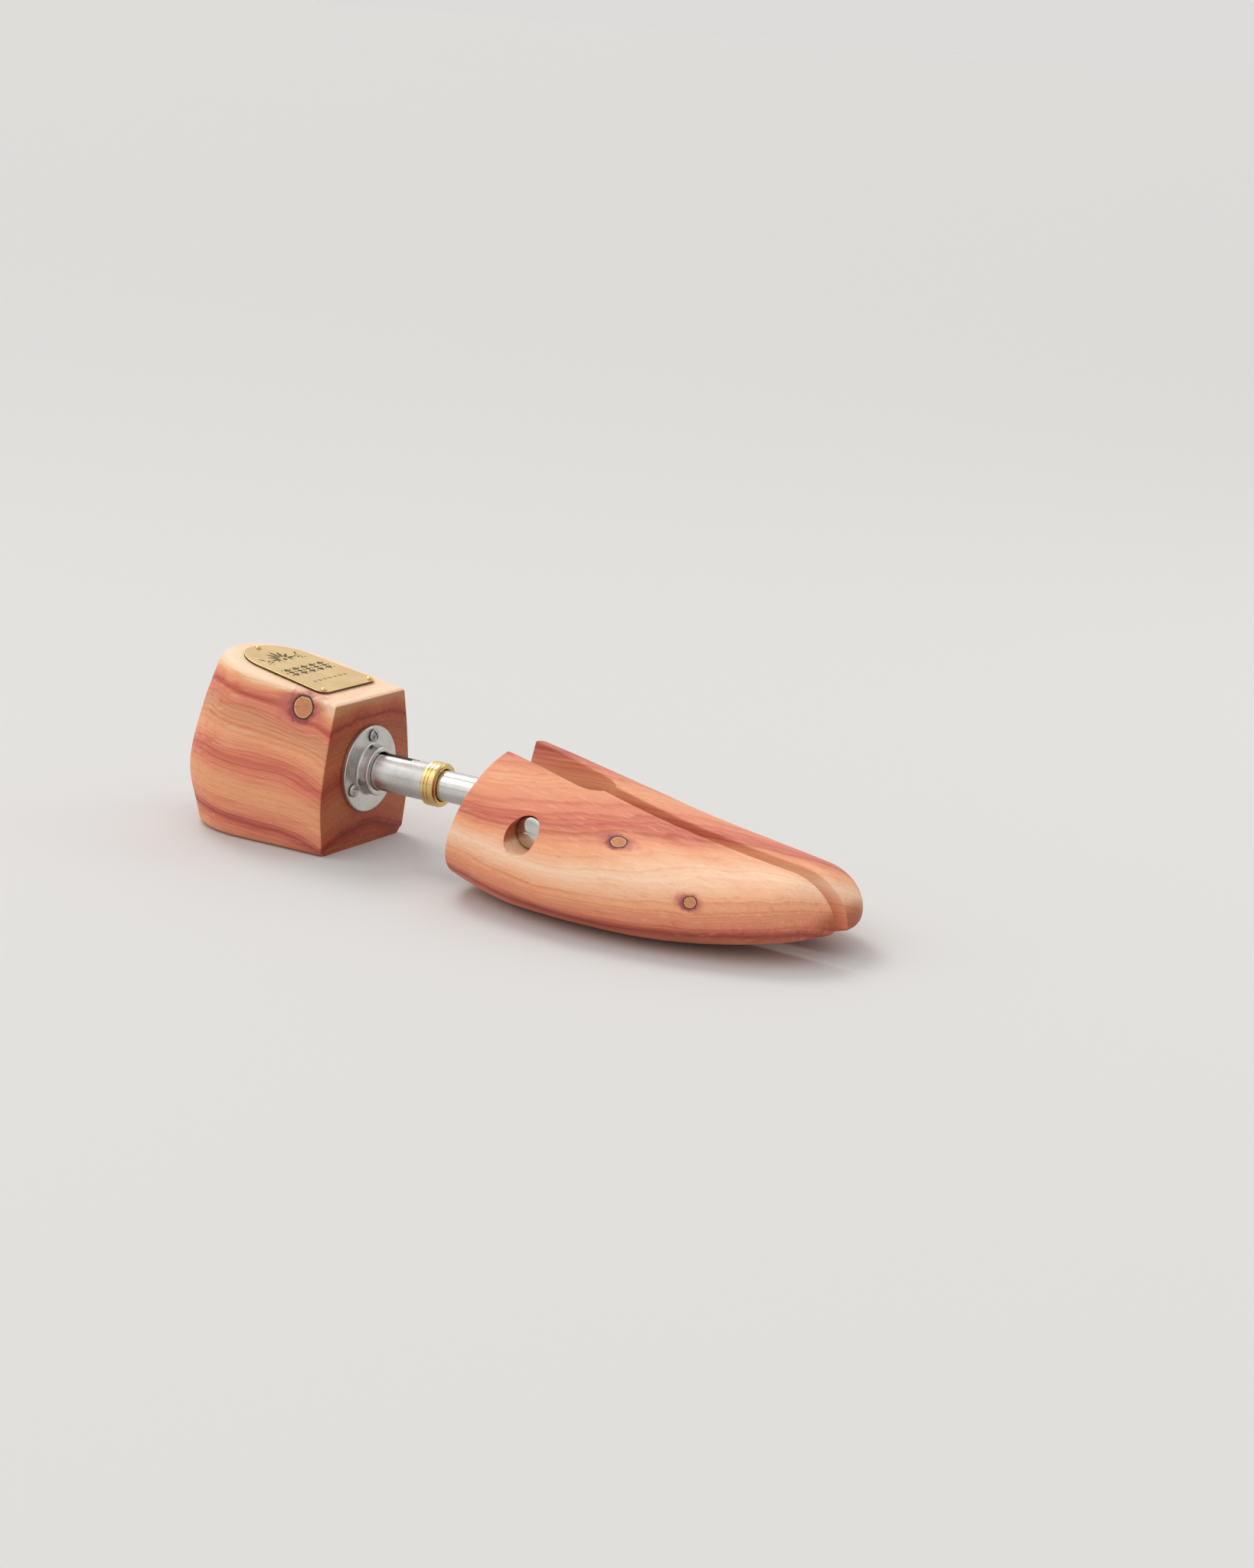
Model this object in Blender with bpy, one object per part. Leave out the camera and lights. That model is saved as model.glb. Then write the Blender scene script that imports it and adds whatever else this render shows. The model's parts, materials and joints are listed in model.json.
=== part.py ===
"""Split-toe cedar shoe tree for a right shoe: full heel block, sprung telescoping tube, sprung toe halves.

Metres. +X runs from the heel to the toe, +Y to the inner (medial) side of the foot, +Z up.
The tree stands free on a table, with its springs holding every slide out against its stop.
The origin is under the middle of the tree, on the table.
"""
import math

import bmesh
import bpy
from mathutils import Matrix, Vector

MM = 0.001
GAP = 0.3 * MM

# The whole tree.
TREE_LENGTH = 284 * MM
HEEL_BACK_X = -TREE_LENGTH / 2
TOE_TIP_X = TREE_LENGTH / 2
AXIS_Y = 0.75 * MM
TUBE_Z = 31 * MM

# Heel block: a round-backed block whose sides lean in towards a sloping top.
BLOCK_LENGTH = 76 * MM
BLOCK_FRONT_X = HEEL_BACK_X + BLOCK_LENGTH
BLOCK_TOP_Z = 71 * MM
TOP_SLOPE = math.radians(9)
BACK_CURVE_LENGTH = 31 * MM
BACK_FULLNESS = 2.15
SEAT_ROUND = 4 * MM
TOP_ROUND_BACK = 7 * MM
TOP_ROUND_FRONT = 1.0 * MM
ROUND_LEVEL = 0.94
BLOCK_BACK_INSET = [(0, 4.0), (0.3, 0), (0.65, 3.4), (1, 9.5)]
BLOCK_REAR_HALF_WIDTH = [(0, 29.0), (0.3, 31.5), (0.65, 29.0), (1, 23.6)]
BLOCK_FRONT_HALF_WIDTH = [(0, 27.5), (0.3, 29.5), (0.65, 27.0), (1, 22.5)]

# Name plate and its pins, measured along the sloping top from the rear pin.
REAR_PIN_X = HEEL_BACK_X + 21.2 * MM
PIN_ROW_LENGTH = 43.5 * MM
PIN_ROW_HALF_WIDTH = 15 * MM
PLATE_THICKNESS = 0.8 * MM
PLATE_REAR_MARGIN = 2.5 * MM
PLATE_FRONT_MARGIN = 2.2 * MM
PLATE_REAR_RADIUS = 16.3 * MM
PLATE_FRONT_HALF_WIDTH = 18 * MM
PLATE_CORNER_RADIUS = 4 * MM
PIN_HEAD_RADIUS = 1.3 * MM
PIN_HEAD_HEIGHT = 0.8 * MM
PIN_SHANK_RADIUS = 0.6 * MM
PIN_SHANK_LENGTH = 11 * MM

# Telescoping tube.
OUTER_TUBE_RADIUS = 7.3 * MM
OUTER_TUBE_BORE = 6.3 * MM
OUTER_TUBE_START_X = HEEL_BACK_X + 24 * MM
OUTER_TUBE_END_X = HEEL_BACK_X + 106 * MM
INNER_TUBE_RADIUS = 6 * MM
INNER_TUBE_BORE = 5 * MM
INNER_TUBE_START_X = HEEL_BACK_X + 84 * MM
INNER_TUBE_END_X = HEEL_BACK_X + 147 * MM
TUBE_TRAVEL = 24 * MM
STOP_PIN_X = INNER_TUBE_START_X + 14 * MM
STOP_PIN_RADIUS = 1.5 * MM
SEAT_LENGTH = 5 * MM
COLLAR_LENGTH = 6 * MM
COLLAR_RADIUS = 8.6 * MM
FLANGE_RADIUS = 17 * MM
FLANGE_THICKNESS = 1.8 * MM
FLANGE_NECK_RADIUS = 9.6 * MM
FLANGE_NECK_LENGTH = 5 * MM
FLANGE_SCREW_CIRCLE = 13.3 * MM
FLANGE_SCREWS = 3
FLANGE_SCREW_RADIUS = 1.3 * MM
FLANGE_SCREW_LENGTH = 14 * MM
FLANGE_SCREW_HEAD = (2.6 * MM, 1.7 * MM)

# Forefoot, a right-foot last cut down the middle. Lengths are from the heel's back.
FOREFOOT_TAIL = 134
FOREFOOT_CENTRE_Y = [(120, -2.6), (180, -1.6), (230, 1.6), (284, 6.5)]
FOREFOOT_HALF_WIDTH = [(120, 31), (145, 37), (170, 43.6), (192, 46.6), (215, 46.6), (250, 45.5), (284, 45)]
FOREFOOT_TOP_Z = [(120, 59), (150, 53), (180, 45.5), (210, 38.5), (240, 33.5), (265, 30.5), (284, 29)]
FOREFOOT_RIDGE_SHIFT = [(120, 5.0), (180, 3.5), (230, 1.0), (284, 0)]
WIDEST_SHARE = 0.40
SOLE_FLAT = (168, 212)
SOLE_CURVE = 1.8
SOLE_TAIL_RISE = 5.5
SOLE_TOE_RISE = 9.5
TOE_ROUND_START = 204
TOE_ROUND_POWER = 2.35
TOE_HEIGHT_START = 264
TAIL_LEAN = math.radians(12)
SPLIT_GAP = 8 * MM

# Pivot of the forefoot, and the slides that spread its halves.
PIVOT_X = HEEL_BACK_X + 172 * MM
SPLAY_TRAVEL = 2.5 * MM
PIVOT_RADIUS = 3 * MM
EYE_HALF_THICKNESS = 4 * MM
EYE_RADIUS = 7 * MM
EYE_SHANK_RADIUS = 4.7 * MM
EYE_SHANK_LENGTH = 18 * MM
EYE_RIVET_RADIUS = 1.5 * MM
TUBE_SLOT_HALF_WIDTH = 9.5 * MM
TUBE_SLOT_FLOOR_Z = TUBE_Z - 10.5 * MM
TUBE_SLOT_FRONT = 4 * MM
BOLT_SEAT = 31 * MM
BOLT_HEAD_RADIUS = 6 * MM
BOLT_HEAD_THICKNESS = 3 * MM
SPLAY_SPRING_POCKET = 16 * MM
SPLAY_SPRING_RADIUS = 5.2 * MM
SPLAY_SPRING_WIRE = 0.6 * MM
DOWEL_RADIUS = 3 * MM
FRONT_DOWEL = (HEEL_BACK_X + 214 * MM, 17 * MM)
TOE_DOWEL = (HEEL_BACK_X + 245 * MM, 16 * MM)
TOE_SPRING_POCKET = 12 * MM

# Facets round a turned piece, and round a spring's wire.
TURNED_FACETS = 24
WIRE_FACETS = 5
COIL_FACETS = 12


def clear_scene():
    for item in list(bpy.data.objects):
        bpy.data.objects.remove(item, do_unlink=True)


def material(name, colour, roughness, metallic):
    made = bpy.data.materials.new(name)
    made.use_nodes = True
    shader = made.node_tree.nodes["Principled BSDF"]
    shader.inputs["Base Color"].default_value = (*colour, 1)
    shader.inputs["Roughness"].default_value = roughness
    shader.inputs["Metallic"].default_value = metallic
    return made


def cedar(name):
    return material(name, (0.62, 0.33, 0.20), 0.6, 0)


def brass(name):
    return material(name, (0.80, 0.63, 0.30), 0.3, 1)


def steel(name):
    return material(name, (0.62, 0.62, 0.60), 0.22, 1)


def smooth_value(points, at):
    """Read a smooth curve through the (place, value) points, with level ends beyond them."""
    if at <= points[0][0]:
        return points[0][1]
    for i in range(len(points) - 1):
        (x0, y0), (x1, y1) = points[i], points[i + 1]
        if at <= x1:
            before = points[max(i - 1, 0)]
            after = points[min(i + 2, len(points) - 1)]
            slope0 = (y1 - before[1]) / (x1 - before[0])
            slope1 = (after[1] - y0) / (after[0] - x0)
            span = x1 - x0
            t = (at - x0) / span
            return (
                (2 * t**3 - 3 * t**2 + 1) * y0
                + (t**3 - 2 * t**2 + t) * span * slope0
                + (3 * t**2 - 2 * t**3) * y1
                + (t**3 - t**2) * span * slope1
            )
    return points[-1][1]


def add_object(name, mesh, paint=None):
    made = bpy.data.objects.new(name, mesh)
    bpy.context.collection.objects.link(made)
    if paint:
        mesh.materials.append(paint)
    return made


def finish_mesh(name, work, sharp=35):
    """Turn a bmesh into a mesh with outward faces, smooth but for its sharp edges."""
    bmesh.ops.recalc_face_normals(work, faces=work.faces)
    mesh = bpy.data.meshes.new(name)
    work.to_mesh(mesh)
    work.free()
    mesh.shade_smooth()
    mesh.set_sharp_from_angle(angle=math.radians(sharp))
    return mesh


def ring_mesh(name, rings, closed=False):
    """Join equal rings of points by quads, and cap the first and last unless they meet."""
    work = bmesh.new()
    loops = [[work.verts.new(point) for point in ring] for ring in rings]
    if closed:
        loops.append(loops[0])
    for low, high in zip(loops, loops[1:]):
        for i in range(len(low)):
            j = (i + 1) % len(low)
            work.faces.new((low[i], low[j], high[j], high[i]))
    if not closed:
        work.faces.new(loops[0][::-1])
        work.faces.new(loops[-1])
    return finish_mesh(name, work)


def turned(name, profile, paint, facets=TURNED_FACETS):
    """Turn a (radius, height) profile about local Z. A profile off the axis makes a ring."""
    work = bmesh.new()
    loops = []
    for radius, height in profile:
        if radius == 0:
            loops.append([work.verts.new((0, 0, height))])
            continue
        angles = [2 * math.pi * k / facets for k in range(facets)]
        loops.append([work.verts.new((radius * math.cos(a), radius * math.sin(a), height)) for a in angles])
    if profile[0][0] > 0:
        loops.append(loops[0])
    for low, high in zip(loops, loops[1:]):
        for k in range(facets):
            j = (k + 1) % facets
            corners = [low[k % len(low)], low[j % len(low)], high[j % len(high)], high[k % len(high)]]
            work.faces.new(list(dict.fromkeys(corners)))
    return add_object(name, finish_mesh(name, work), paint)


def lay(item, origin, axis):
    """Put a turned piece's local origin at a place, with its local Z along an axis."""
    item.rotation_mode = "QUATERNION"
    item.rotation_quaternion = Vector((0, 0, 1)).rotation_difference(Vector(axis))
    item.location = origin
    return item


def tube_profile(outer, inner, length, chamfer=0.3 * MM):
    return [
        (inner, 0),
        (outer - chamfer, 0),
        (outer, chamfer),
        (outer, length - chamfer),
        (outer - chamfer, length),
        (inner, length),
    ]


def pin_profile(radius, length, chamfer=0.4 * MM):
    return [
        (0, 0),
        (radius - chamfer, 0),
        (radius, chamfer),
        (radius, length - chamfer),
        (radius - chamfer, length),
        (0, length),
    ]


def screw_profile(head_radius, head_height, shank_radius, shank_length):
    """A domed head above local Z = 0 and a pointed shank below it."""
    steps = 5
    dome = []
    for k in range(steps + 1):
        angle = math.pi / 2 * k / steps
        dome.append((head_radius * math.sin(angle), head_height * math.cos(angle)))
    dome[0] = (0, head_height)
    return dome + [(shank_radius, 0), (shank_radius, -0.8 * shank_length), (0, -shank_length)]


def cutter(name, mesh):
    made = add_object(name, mesh)
    made.hide_render = True
    made.display_type = "WIRE"
    return made


def cut(item, tool, operation="DIFFERENCE"):
    change = item.modifiers.new(tool.name, "BOOLEAN")
    change.operation = operation
    change.solver = "EXACT"
    change.object = tool


def drill(item, name, start, axis, radius, length):
    """Cut a round hole from a place, along an axis."""
    profile = [(0, 0), (radius, 0), (radius, length), (0, length)]
    tool = turned(name, profile, None)
    tool.hide_render = True
    tool.display_type = "WIRE"
    cut(item, lay(tool, start, axis))


def box_mesh(name, low, high):
    work = bmesh.new()
    bmesh.ops.create_cube(work, size=1)
    middle = [(a + b) / 2 for a, b in zip(low, high)]
    size = [b - a for a, b in zip(low, high)]
    bmesh.ops.transform(work, matrix=Matrix.LocRotScale(Vector(middle), None, Vector(size)), verts=work.verts)
    return finish_mesh(name, work)


def coil_mesh(name, start, axis, length, radius, wire, turns):
    """A helical wire as one closed tube, its ends wound flat, from a place along an axis."""
    work = bmesh.new()
    steps = turns * COIL_FACETS
    flat = 0.4 / turns
    turn_to = Vector((0, 0, 1)).rotation_difference(Vector(axis)).to_matrix()
    loops = []
    for k in range(steps + 1):
        along = k / steps
        lift = min(max((along - flat) / (1 - 2 * flat), 0), 1)
        height = wire + lift * (length - 2 * wire)
        angle = 2 * math.pi * k / COIL_FACETS
        outward = Vector((math.cos(angle), math.sin(angle), 0))
        centre = outward * (radius - wire) + Vector((0, 0, height))
        loop = []
        for w in range(WIRE_FACETS):
            round_wire = 2 * math.pi * w / WIRE_FACETS
            point = centre + wire * (outward * math.cos(round_wire) + Vector((0, 0, math.sin(round_wire))))
            loop.append(work.verts.new(Vector(start) + turn_to @ point))
        loops.append(loop)
    for low, high in zip(loops, loops[1:]):
        for w in range(WIRE_FACETS):
            v = (w + 1) % WIRE_FACETS
            work.faces.new((low[w], low[v], high[v], high[w]))
    work.faces.new(loops[0])
    work.faces.new(loops[-1])
    return finish_mesh(name, work)


def block_top_z(x):
    return BLOCK_TOP_Z - math.tan(TOP_SLOPE) * (x - HEEL_BACK_X)


def block_outline(level, inset=0.0):
    """The block's plan at a level from 0, the seat, to 1, the top: outer front corner, back, inner corner."""
    back_x = HEEL_BACK_X + smooth_value(BLOCK_BACK_INSET, level) * MM
    rear = smooth_value(BLOCK_REAR_HALF_WIDTH, level) * MM - inset
    front = smooth_value(BLOCK_FRONT_HALF_WIDTH, level) * MM - inset
    side_x = back_x + BACK_CURVE_LENGTH
    side_steps = 4
    back_steps = 20
    points = []
    for k in range(side_steps):
        t = k / side_steps
        points.append((BLOCK_FRONT_X + t * (side_x - BLOCK_FRONT_X), -(front + t * (rear - front))))
    for k in range(back_steps + 1):
        angle = math.pi * k / back_steps
        depth = (BACK_CURVE_LENGTH - inset) * abs(math.sin(angle)) ** (2 / BACK_FULLNESS)
        width = rear * abs(math.cos(angle)) ** (2 / BACK_FULLNESS)
        points.append((side_x - depth, -math.copysign(width, math.cos(angle))))
    mirrored = [(x, -y) for x, y in points[:side_steps]]
    return [Vector((x, y)) for x, y in points + mirrored[::-1]]


def inset_outline(points, insets):
    """Move each point of a clockwise outline inwards by its own inset."""
    moved = []
    for i, point in enumerate(points):
        before = (point - points[i - 1]).normalized()
        after = (points[(i + 1) % len(points)] - point).normalized()
        inward = Vector((before.y + after.y, -before.x - after.x))
        inward.normalize()
        corner = max(inward.dot(Vector((after.y, -after.x))), 0.5)
        moved.append(point + inward * insets[i] / corner)
    return moved


def block_rings():
    """Rings up the block: the rounded seat edge, the wall, and the roundover into the top."""
    round_steps = 4
    wall_steps = 9
    rings = []
    for k in range(round_steps):
        angle = math.pi / 2 * k / round_steps
        outline = block_outline(0, SEAT_ROUND * (1 - math.sin(angle)))
        rings.append([(p.x, p.y, SEAT_ROUND * (1 - math.cos(angle))) for p in outline])
    for k in range(wall_steps):
        share = k / wall_steps
        outline = block_outline(share * ROUND_LEVEL)
        ring = []
        for p in outline:
            wall_top = block_top_z(p.x) - top_round(p.x)
            ring.append((p.x, p.y, SEAT_ROUND + share * (wall_top - SEAT_ROUND)))
        rings.append(ring)
    for k in range(round_steps + 1):
        angle = math.pi / 2 * k / round_steps
        outline = block_outline(ROUND_LEVEL + (1 - ROUND_LEVEL) * k / round_steps)
        insets = [top_round(p.x) * (1 - math.cos(angle)) for p in outline]
        ring = []
        for p, outer in zip(inset_outline(outline, insets), outline):
            ring.append((p.x, p.y, block_top_z(p.x) - top_round(outer.x) * (1 - math.sin(angle))))
        rings.append(ring)
    return rings


def top_round(x):
    """The roundover's radius, wide at the back and fine at the front."""
    share = min(max((BLOCK_FRONT_X - x) / BLOCK_LENGTH, 0), 1)
    return TOP_ROUND_FRONT + (TOP_ROUND_BACK - TOP_ROUND_FRONT) * share**2


def plate_matrix():
    """From plate axes, with the rear pin at the origin and Z out of the top, to the tree's."""
    place = Vector((REAR_PIN_X, AXIS_Y, block_top_z(REAR_PIN_X)))
    return Matrix.Translation(place) @ Matrix.Rotation(TOP_SLOPE, 4, "Y")


def pin_places():
    return {
        "rear": (0, 0),
        "lateral": (PIN_ROW_LENGTH, -PIN_ROW_HALF_WIDTH),
        "medial": (PIN_ROW_LENGTH, PIN_ROW_HALF_WIDTH),
    }


def make_heel_block():
    rings = [[(x, y + AXIS_Y, z) for x, y, z in ring] for ring in block_rings()]
    block = add_object("heel_block", ring_mesh("heel_block", rings), cedar("heel_cedar"))
    bore_start = (OUTER_TUBE_START_X - GAP, AXIS_Y, TUBE_Z)
    drill(block, "cut_tube_bore", bore_start, (1, 0, 0), OUTER_TUBE_RADIUS + GAP, BLOCK_LENGTH)
    frame = plate_matrix()
    for side, (u, v) in pin_places().items():
        top = frame @ Vector((u, v, 1 * MM))
        down = frame.to_3x3() @ Vector((0, 0, -1))
        depth = PIN_SHANK_LENGTH + 1 * MM
        drill(block, "cut_pilot_" + side, top, down, PIN_SHANK_RADIUS + GAP, depth)
    for k in range(FLANGE_SCREWS):
        y, z = flange_screw_place(k)
        start = (BLOCK_FRONT_X + 1 * MM, y, z)
        radius = FLANGE_SCREW_RADIUS + GAP
        drill(block, f"cut_flange_pilot_{k + 1}", start, (-1, 0, 0), radius, FLANGE_SCREW_LENGTH + 1 * MM)
    return block


def plate_outline():
    """Rear arc, straight flaring sides, and rounded front corners."""
    centre_u = PLATE_REAR_RADIUS - PLATE_REAR_MARGIN
    front_u = PIN_ROW_LENGTH + PLATE_FRONT_MARGIN
    corner_u = front_u - PLATE_CORNER_RADIUS
    corner_v = PLATE_FRONT_HALF_WIDTH - PLATE_CORNER_RADIUS
    run = corner_u - centre_u
    rise = PLATE_FRONT_HALF_WIDTH - PLATE_REAR_RADIUS
    flare = math.atan2(rise, run)
    rear_steps = 14
    corner_steps = 5
    points = []
    for k in range(rear_steps + 1):
        angle = math.pi / 2 + flare + (math.pi - 2 * flare) * k / rear_steps
        points.append((centre_u + PLATE_REAR_RADIUS * math.cos(angle), PLATE_REAR_RADIUS * math.sin(angle)))
    for side in (-1, 1):
        corner = []
        for k in range(corner_steps + 1):
            angle = (math.pi / 2 + flare) * k / corner_steps
            u = corner_u + PLATE_CORNER_RADIUS * math.cos(angle)
            corner.append((u, side * (corner_v + PLATE_CORNER_RADIUS * math.sin(angle))))
        points += corner[::-1] if side < 0 else corner
    return points


def make_plate():
    outline = plate_outline()
    heights = (GAP, GAP + PLATE_THICKNESS)
    rings = [[(u, v, height) for u, v in outline] for height in heights]
    plate = add_object("name_plate", ring_mesh("name_plate", rings), brass("plate_brass"))
    plate.matrix_world = plate_matrix()
    for side, (u, v) in pin_places().items():
        start = plate_matrix() @ Vector((u, v, -1 * MM))
        up = plate_matrix().to_3x3() @ Vector((0, 0, 1))
        drill(plate, "cut_plate_" + side, start, up, PIN_SHANK_RADIUS + GAP, 4 * MM)


def make_plate_pins():
    frame = plate_matrix()
    up = frame.to_3x3() @ Vector((0, 0, 1))
    for side, (u, v) in pin_places().items():
        profile = screw_profile(PIN_HEAD_RADIUS, PIN_HEAD_HEIGHT, PIN_SHANK_RADIUS, PIN_SHANK_LENGTH)
        pin = turned("plate_pin_" + side, profile, brass("pin_brass_" + side), 16)
        lay(pin, frame @ Vector((u, v, 2 * GAP + PLATE_THICKNESS)), up)


def flange_screw_place(k):
    angle = math.pi / 2 + 2 * math.pi * k / FLANGE_SCREWS
    y = AXIS_Y + FLANGE_SCREW_CIRCLE * math.cos(angle)
    return y, TUBE_Z + FLANGE_SCREW_CIRCLE * math.sin(angle)


def make_flange():
    bore = OUTER_TUBE_RADIUS + GAP
    profile = [
        (bore, 0),
        (FLANGE_RADIUS, 0),
        (FLANGE_RADIUS, FLANGE_THICKNESS - 0.4 * MM),
        (FLANGE_RADIUS - 0.4 * MM, FLANGE_THICKNESS),
        (FLANGE_NECK_RADIUS + 0.8 * MM, FLANGE_THICKNESS),
        (FLANGE_NECK_RADIUS, FLANGE_THICKNESS + 0.8 * MM),
        (FLANGE_NECK_RADIUS, FLANGE_THICKNESS + FLANGE_NECK_LENGTH - 0.5 * MM),
        (FLANGE_NECK_RADIUS - 0.5 * MM, FLANGE_THICKNESS + FLANGE_NECK_LENGTH),
        (bore, FLANGE_THICKNESS + FLANGE_NECK_LENGTH),
    ]
    flange = turned("tube_flange", profile, steel("flange_steel"), 27)
    lay(flange, (BLOCK_FRONT_X + GAP, AXIS_Y, TUBE_Z), (1, 0, 0))
    profile = screw_profile(*FLANGE_SCREW_HEAD, FLANGE_SCREW_RADIUS, FLANGE_SCREW_LENGTH)
    for k in range(FLANGE_SCREWS):
        y, z = flange_screw_place(k)
        radius = FLANGE_SCREW_RADIUS + GAP
        drill(flange, f"cut_flange_{k + 1}", (BLOCK_FRONT_X - 1 * MM, y, z), (1, 0, 0), radius, 6 * MM)
        screw = turned(f"flange_screw_{k + 1}", profile, steel("screw_steel"), 16)
        lay(screw, (BLOCK_FRONT_X + 2 * GAP + FLANGE_THICKNESS, y, z), (1, 0, 0))
        slot_low = (BLOCK_FRONT_X + FLANGE_THICKNESS + 1.5 * MM, y - 4 * MM, z - 0.35 * MM)
        slot_high = (BLOCK_FRONT_X + FLANGE_THICKNESS + 4 * MM, y + 4 * MM, z + 0.35 * MM)
        name = f"cut_screw_slot_{k + 1}"
        cut(screw, cutter(name, box_mesh(name, slot_low, slot_high)))


def make_outer_tube():
    length = OUTER_TUBE_END_X - OUTER_TUBE_START_X
    tube = turned("outer_tube", tube_profile(OUTER_TUBE_RADIUS, OUTER_TUBE_BORE, length), steel("tube_steel"))
    lay(tube, (OUTER_TUBE_START_X, AXIS_Y, TUBE_Z), (1, 0, 0))
    half = STOP_PIN_RADIUS + GAP
    low = (STOP_PIN_X - TUBE_TRAVEL - half, AXIS_Y - half, TUBE_Z + 3 * MM)
    high = (STOP_PIN_X + half, AXIS_Y + half, TUBE_Z + 12 * MM)
    cut(tube, cutter("cut_stop_slot", box_mesh("cut_stop_slot", low, high)))
    seat_profile = pin_profile(OUTER_TUBE_BORE - GAP, SEAT_LENGTH)
    seat = turned("spring_seat", seat_profile, steel("seat_steel"))
    lay(seat, (OUTER_TUBE_START_X, AXIS_Y, TUBE_Z), (1, 0, 0))
    collar_profile = [
        (INNER_TUBE_RADIUS + GAP, 0),
        (COLLAR_RADIUS - 0.6 * MM, 0),
        (COLLAR_RADIUS, 0.6 * MM),
        (COLLAR_RADIUS, COLLAR_LENGTH - 1 * MM),
        (COLLAR_RADIUS - 1 * MM, COLLAR_LENGTH),
        (INNER_TUBE_RADIUS + GAP, COLLAR_LENGTH),
    ]
    collar = turned("tube_collar", collar_profile, brass("collar_brass"))
    lay(collar, (OUTER_TUBE_END_X + GAP, AXIS_Y, TUBE_Z), (1, 0, 0))


def make_tube_spring():
    start_x = OUTER_TUBE_START_X + SEAT_LENGTH + GAP
    length = INNER_TUBE_START_X - GAP - start_x
    mesh = coil_mesh("tube_spring", (start_x, AXIS_Y, TUBE_Z), (1, 0, 0), length, 5.7 * MM, 0.7 * MM, 13)
    add_object("tube_spring", mesh, steel("tube_spring_steel"))


def make_inner_tube():
    length = INNER_TUBE_END_X - INNER_TUBE_START_X
    profile = tube_profile(INNER_TUBE_RADIUS, INNER_TUBE_BORE, length)
    tube = turned("inner_tube", profile, steel("inner_steel"))
    lay(tube, (INNER_TUBE_START_X, AXIS_Y, TUBE_Z), (1, 0, 0))
    below = (STOP_PIN_X, AXIS_Y, TUBE_Z - 9 * MM)
    drill(tube, "cut_stop_hole", below, (0, 0, 1), STOP_PIN_RADIUS + GAP, 18 * MM)
    beside = (eye_rivet_x(), AXIS_Y - 9 * MM, TUBE_Z)
    drill(tube, "cut_rivet_hole", beside, (0, 1, 0), EYE_RIVET_RADIUS + GAP, 18 * MM)
    plug = turned("inner_tube_plug", pin_profile(INNER_TUBE_BORE - GAP, 8 * MM), steel("plug_steel"))
    lay(plug, (INNER_TUBE_START_X, AXIS_Y, TUBE_Z), (1, 0, 0))
    pin_low = TUBE_Z - INNER_TUBE_RADIUS + 0.2 * MM
    pin_length = OUTER_TUBE_RADIUS + INNER_TUBE_RADIUS - 0.4 * MM
    pin = turned("stop_pin", pin_profile(STOP_PIN_RADIUS, pin_length), steel("stop_pin_steel"), 16)
    lay(pin, (STOP_PIN_X, AXIS_Y, pin_low), (0, 0, 1))


def eye_rivet_x():
    return INNER_TUBE_END_X - EYE_SHANK_LENGTH / 2


def make_pivot_eye():
    """A turned shank in the tube's end, flattened to a round-ended tongue with the pivot's hole."""
    shank_start = INNER_TUBE_END_X - EYE_SHANK_LENGTH
    shoulder = INNER_TUBE_END_X + GAP - shank_start
    profile = [
        (0, 0),
        (EYE_SHANK_RADIUS - 0.5 * MM, 0),
        (EYE_SHANK_RADIUS, 0.5 * MM),
        (EYE_SHANK_RADIUS, shoulder),
        (INNER_TUBE_RADIUS, shoulder),
        (INNER_TUBE_RADIUS, shoulder + 2.5 * MM),
        (0, shoulder + 4.5 * MM),
    ]
    eye = turned("pivot_eye", profile, steel("eye_steel"))
    lay(eye, (shank_start, AXIS_Y, TUBE_Z), (1, 0, 0))
    rear_x = INNER_TUBE_END_X + 1.2 * MM
    neck = 5.2 * MM
    outline = [(rear_x, -neck), (rear_x, neck)]
    steps = 14
    for k in range(steps + 1):
        angle = math.radians(115) * (1 - 2 * k / steps)
        outline.append((PIVOT_X + EYE_RADIUS * math.cos(angle), EYE_RADIUS * math.sin(angle)))
    rings = []
    for side in (-1, 1):
        y = AXIS_Y + side * EYE_HALF_THICKNESS
        rings.append([(x, y, TUBE_Z + z) for x, z in outline])
    cut(eye, cutter("join_tongue", ring_mesh("join_tongue", rings)), "UNION")
    drill(eye, "cut_eye", (PIVOT_X, AXIS_Y - 8 * MM, TUBE_Z), (0, 1, 0), PIVOT_RADIUS + GAP, 16 * MM)
    beside = (eye_rivet_x(), AXIS_Y - 9 * MM, TUBE_Z)
    drill(eye, "cut_eye_rivet", beside, (0, 1, 0), EYE_RIVET_RADIUS + GAP, 18 * MM)
    rivet_length = 2 * INNER_TUBE_RADIUS - 0.4 * MM
    rivet = turned("eye_rivet", pin_profile(EYE_RIVET_RADIUS, rivet_length), steel("rivet_steel"), 16)
    lay(rivet, (eye_rivet_x(), AXIS_Y - rivet_length / 2, TUBE_Z), (0, 1, 0))


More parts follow.
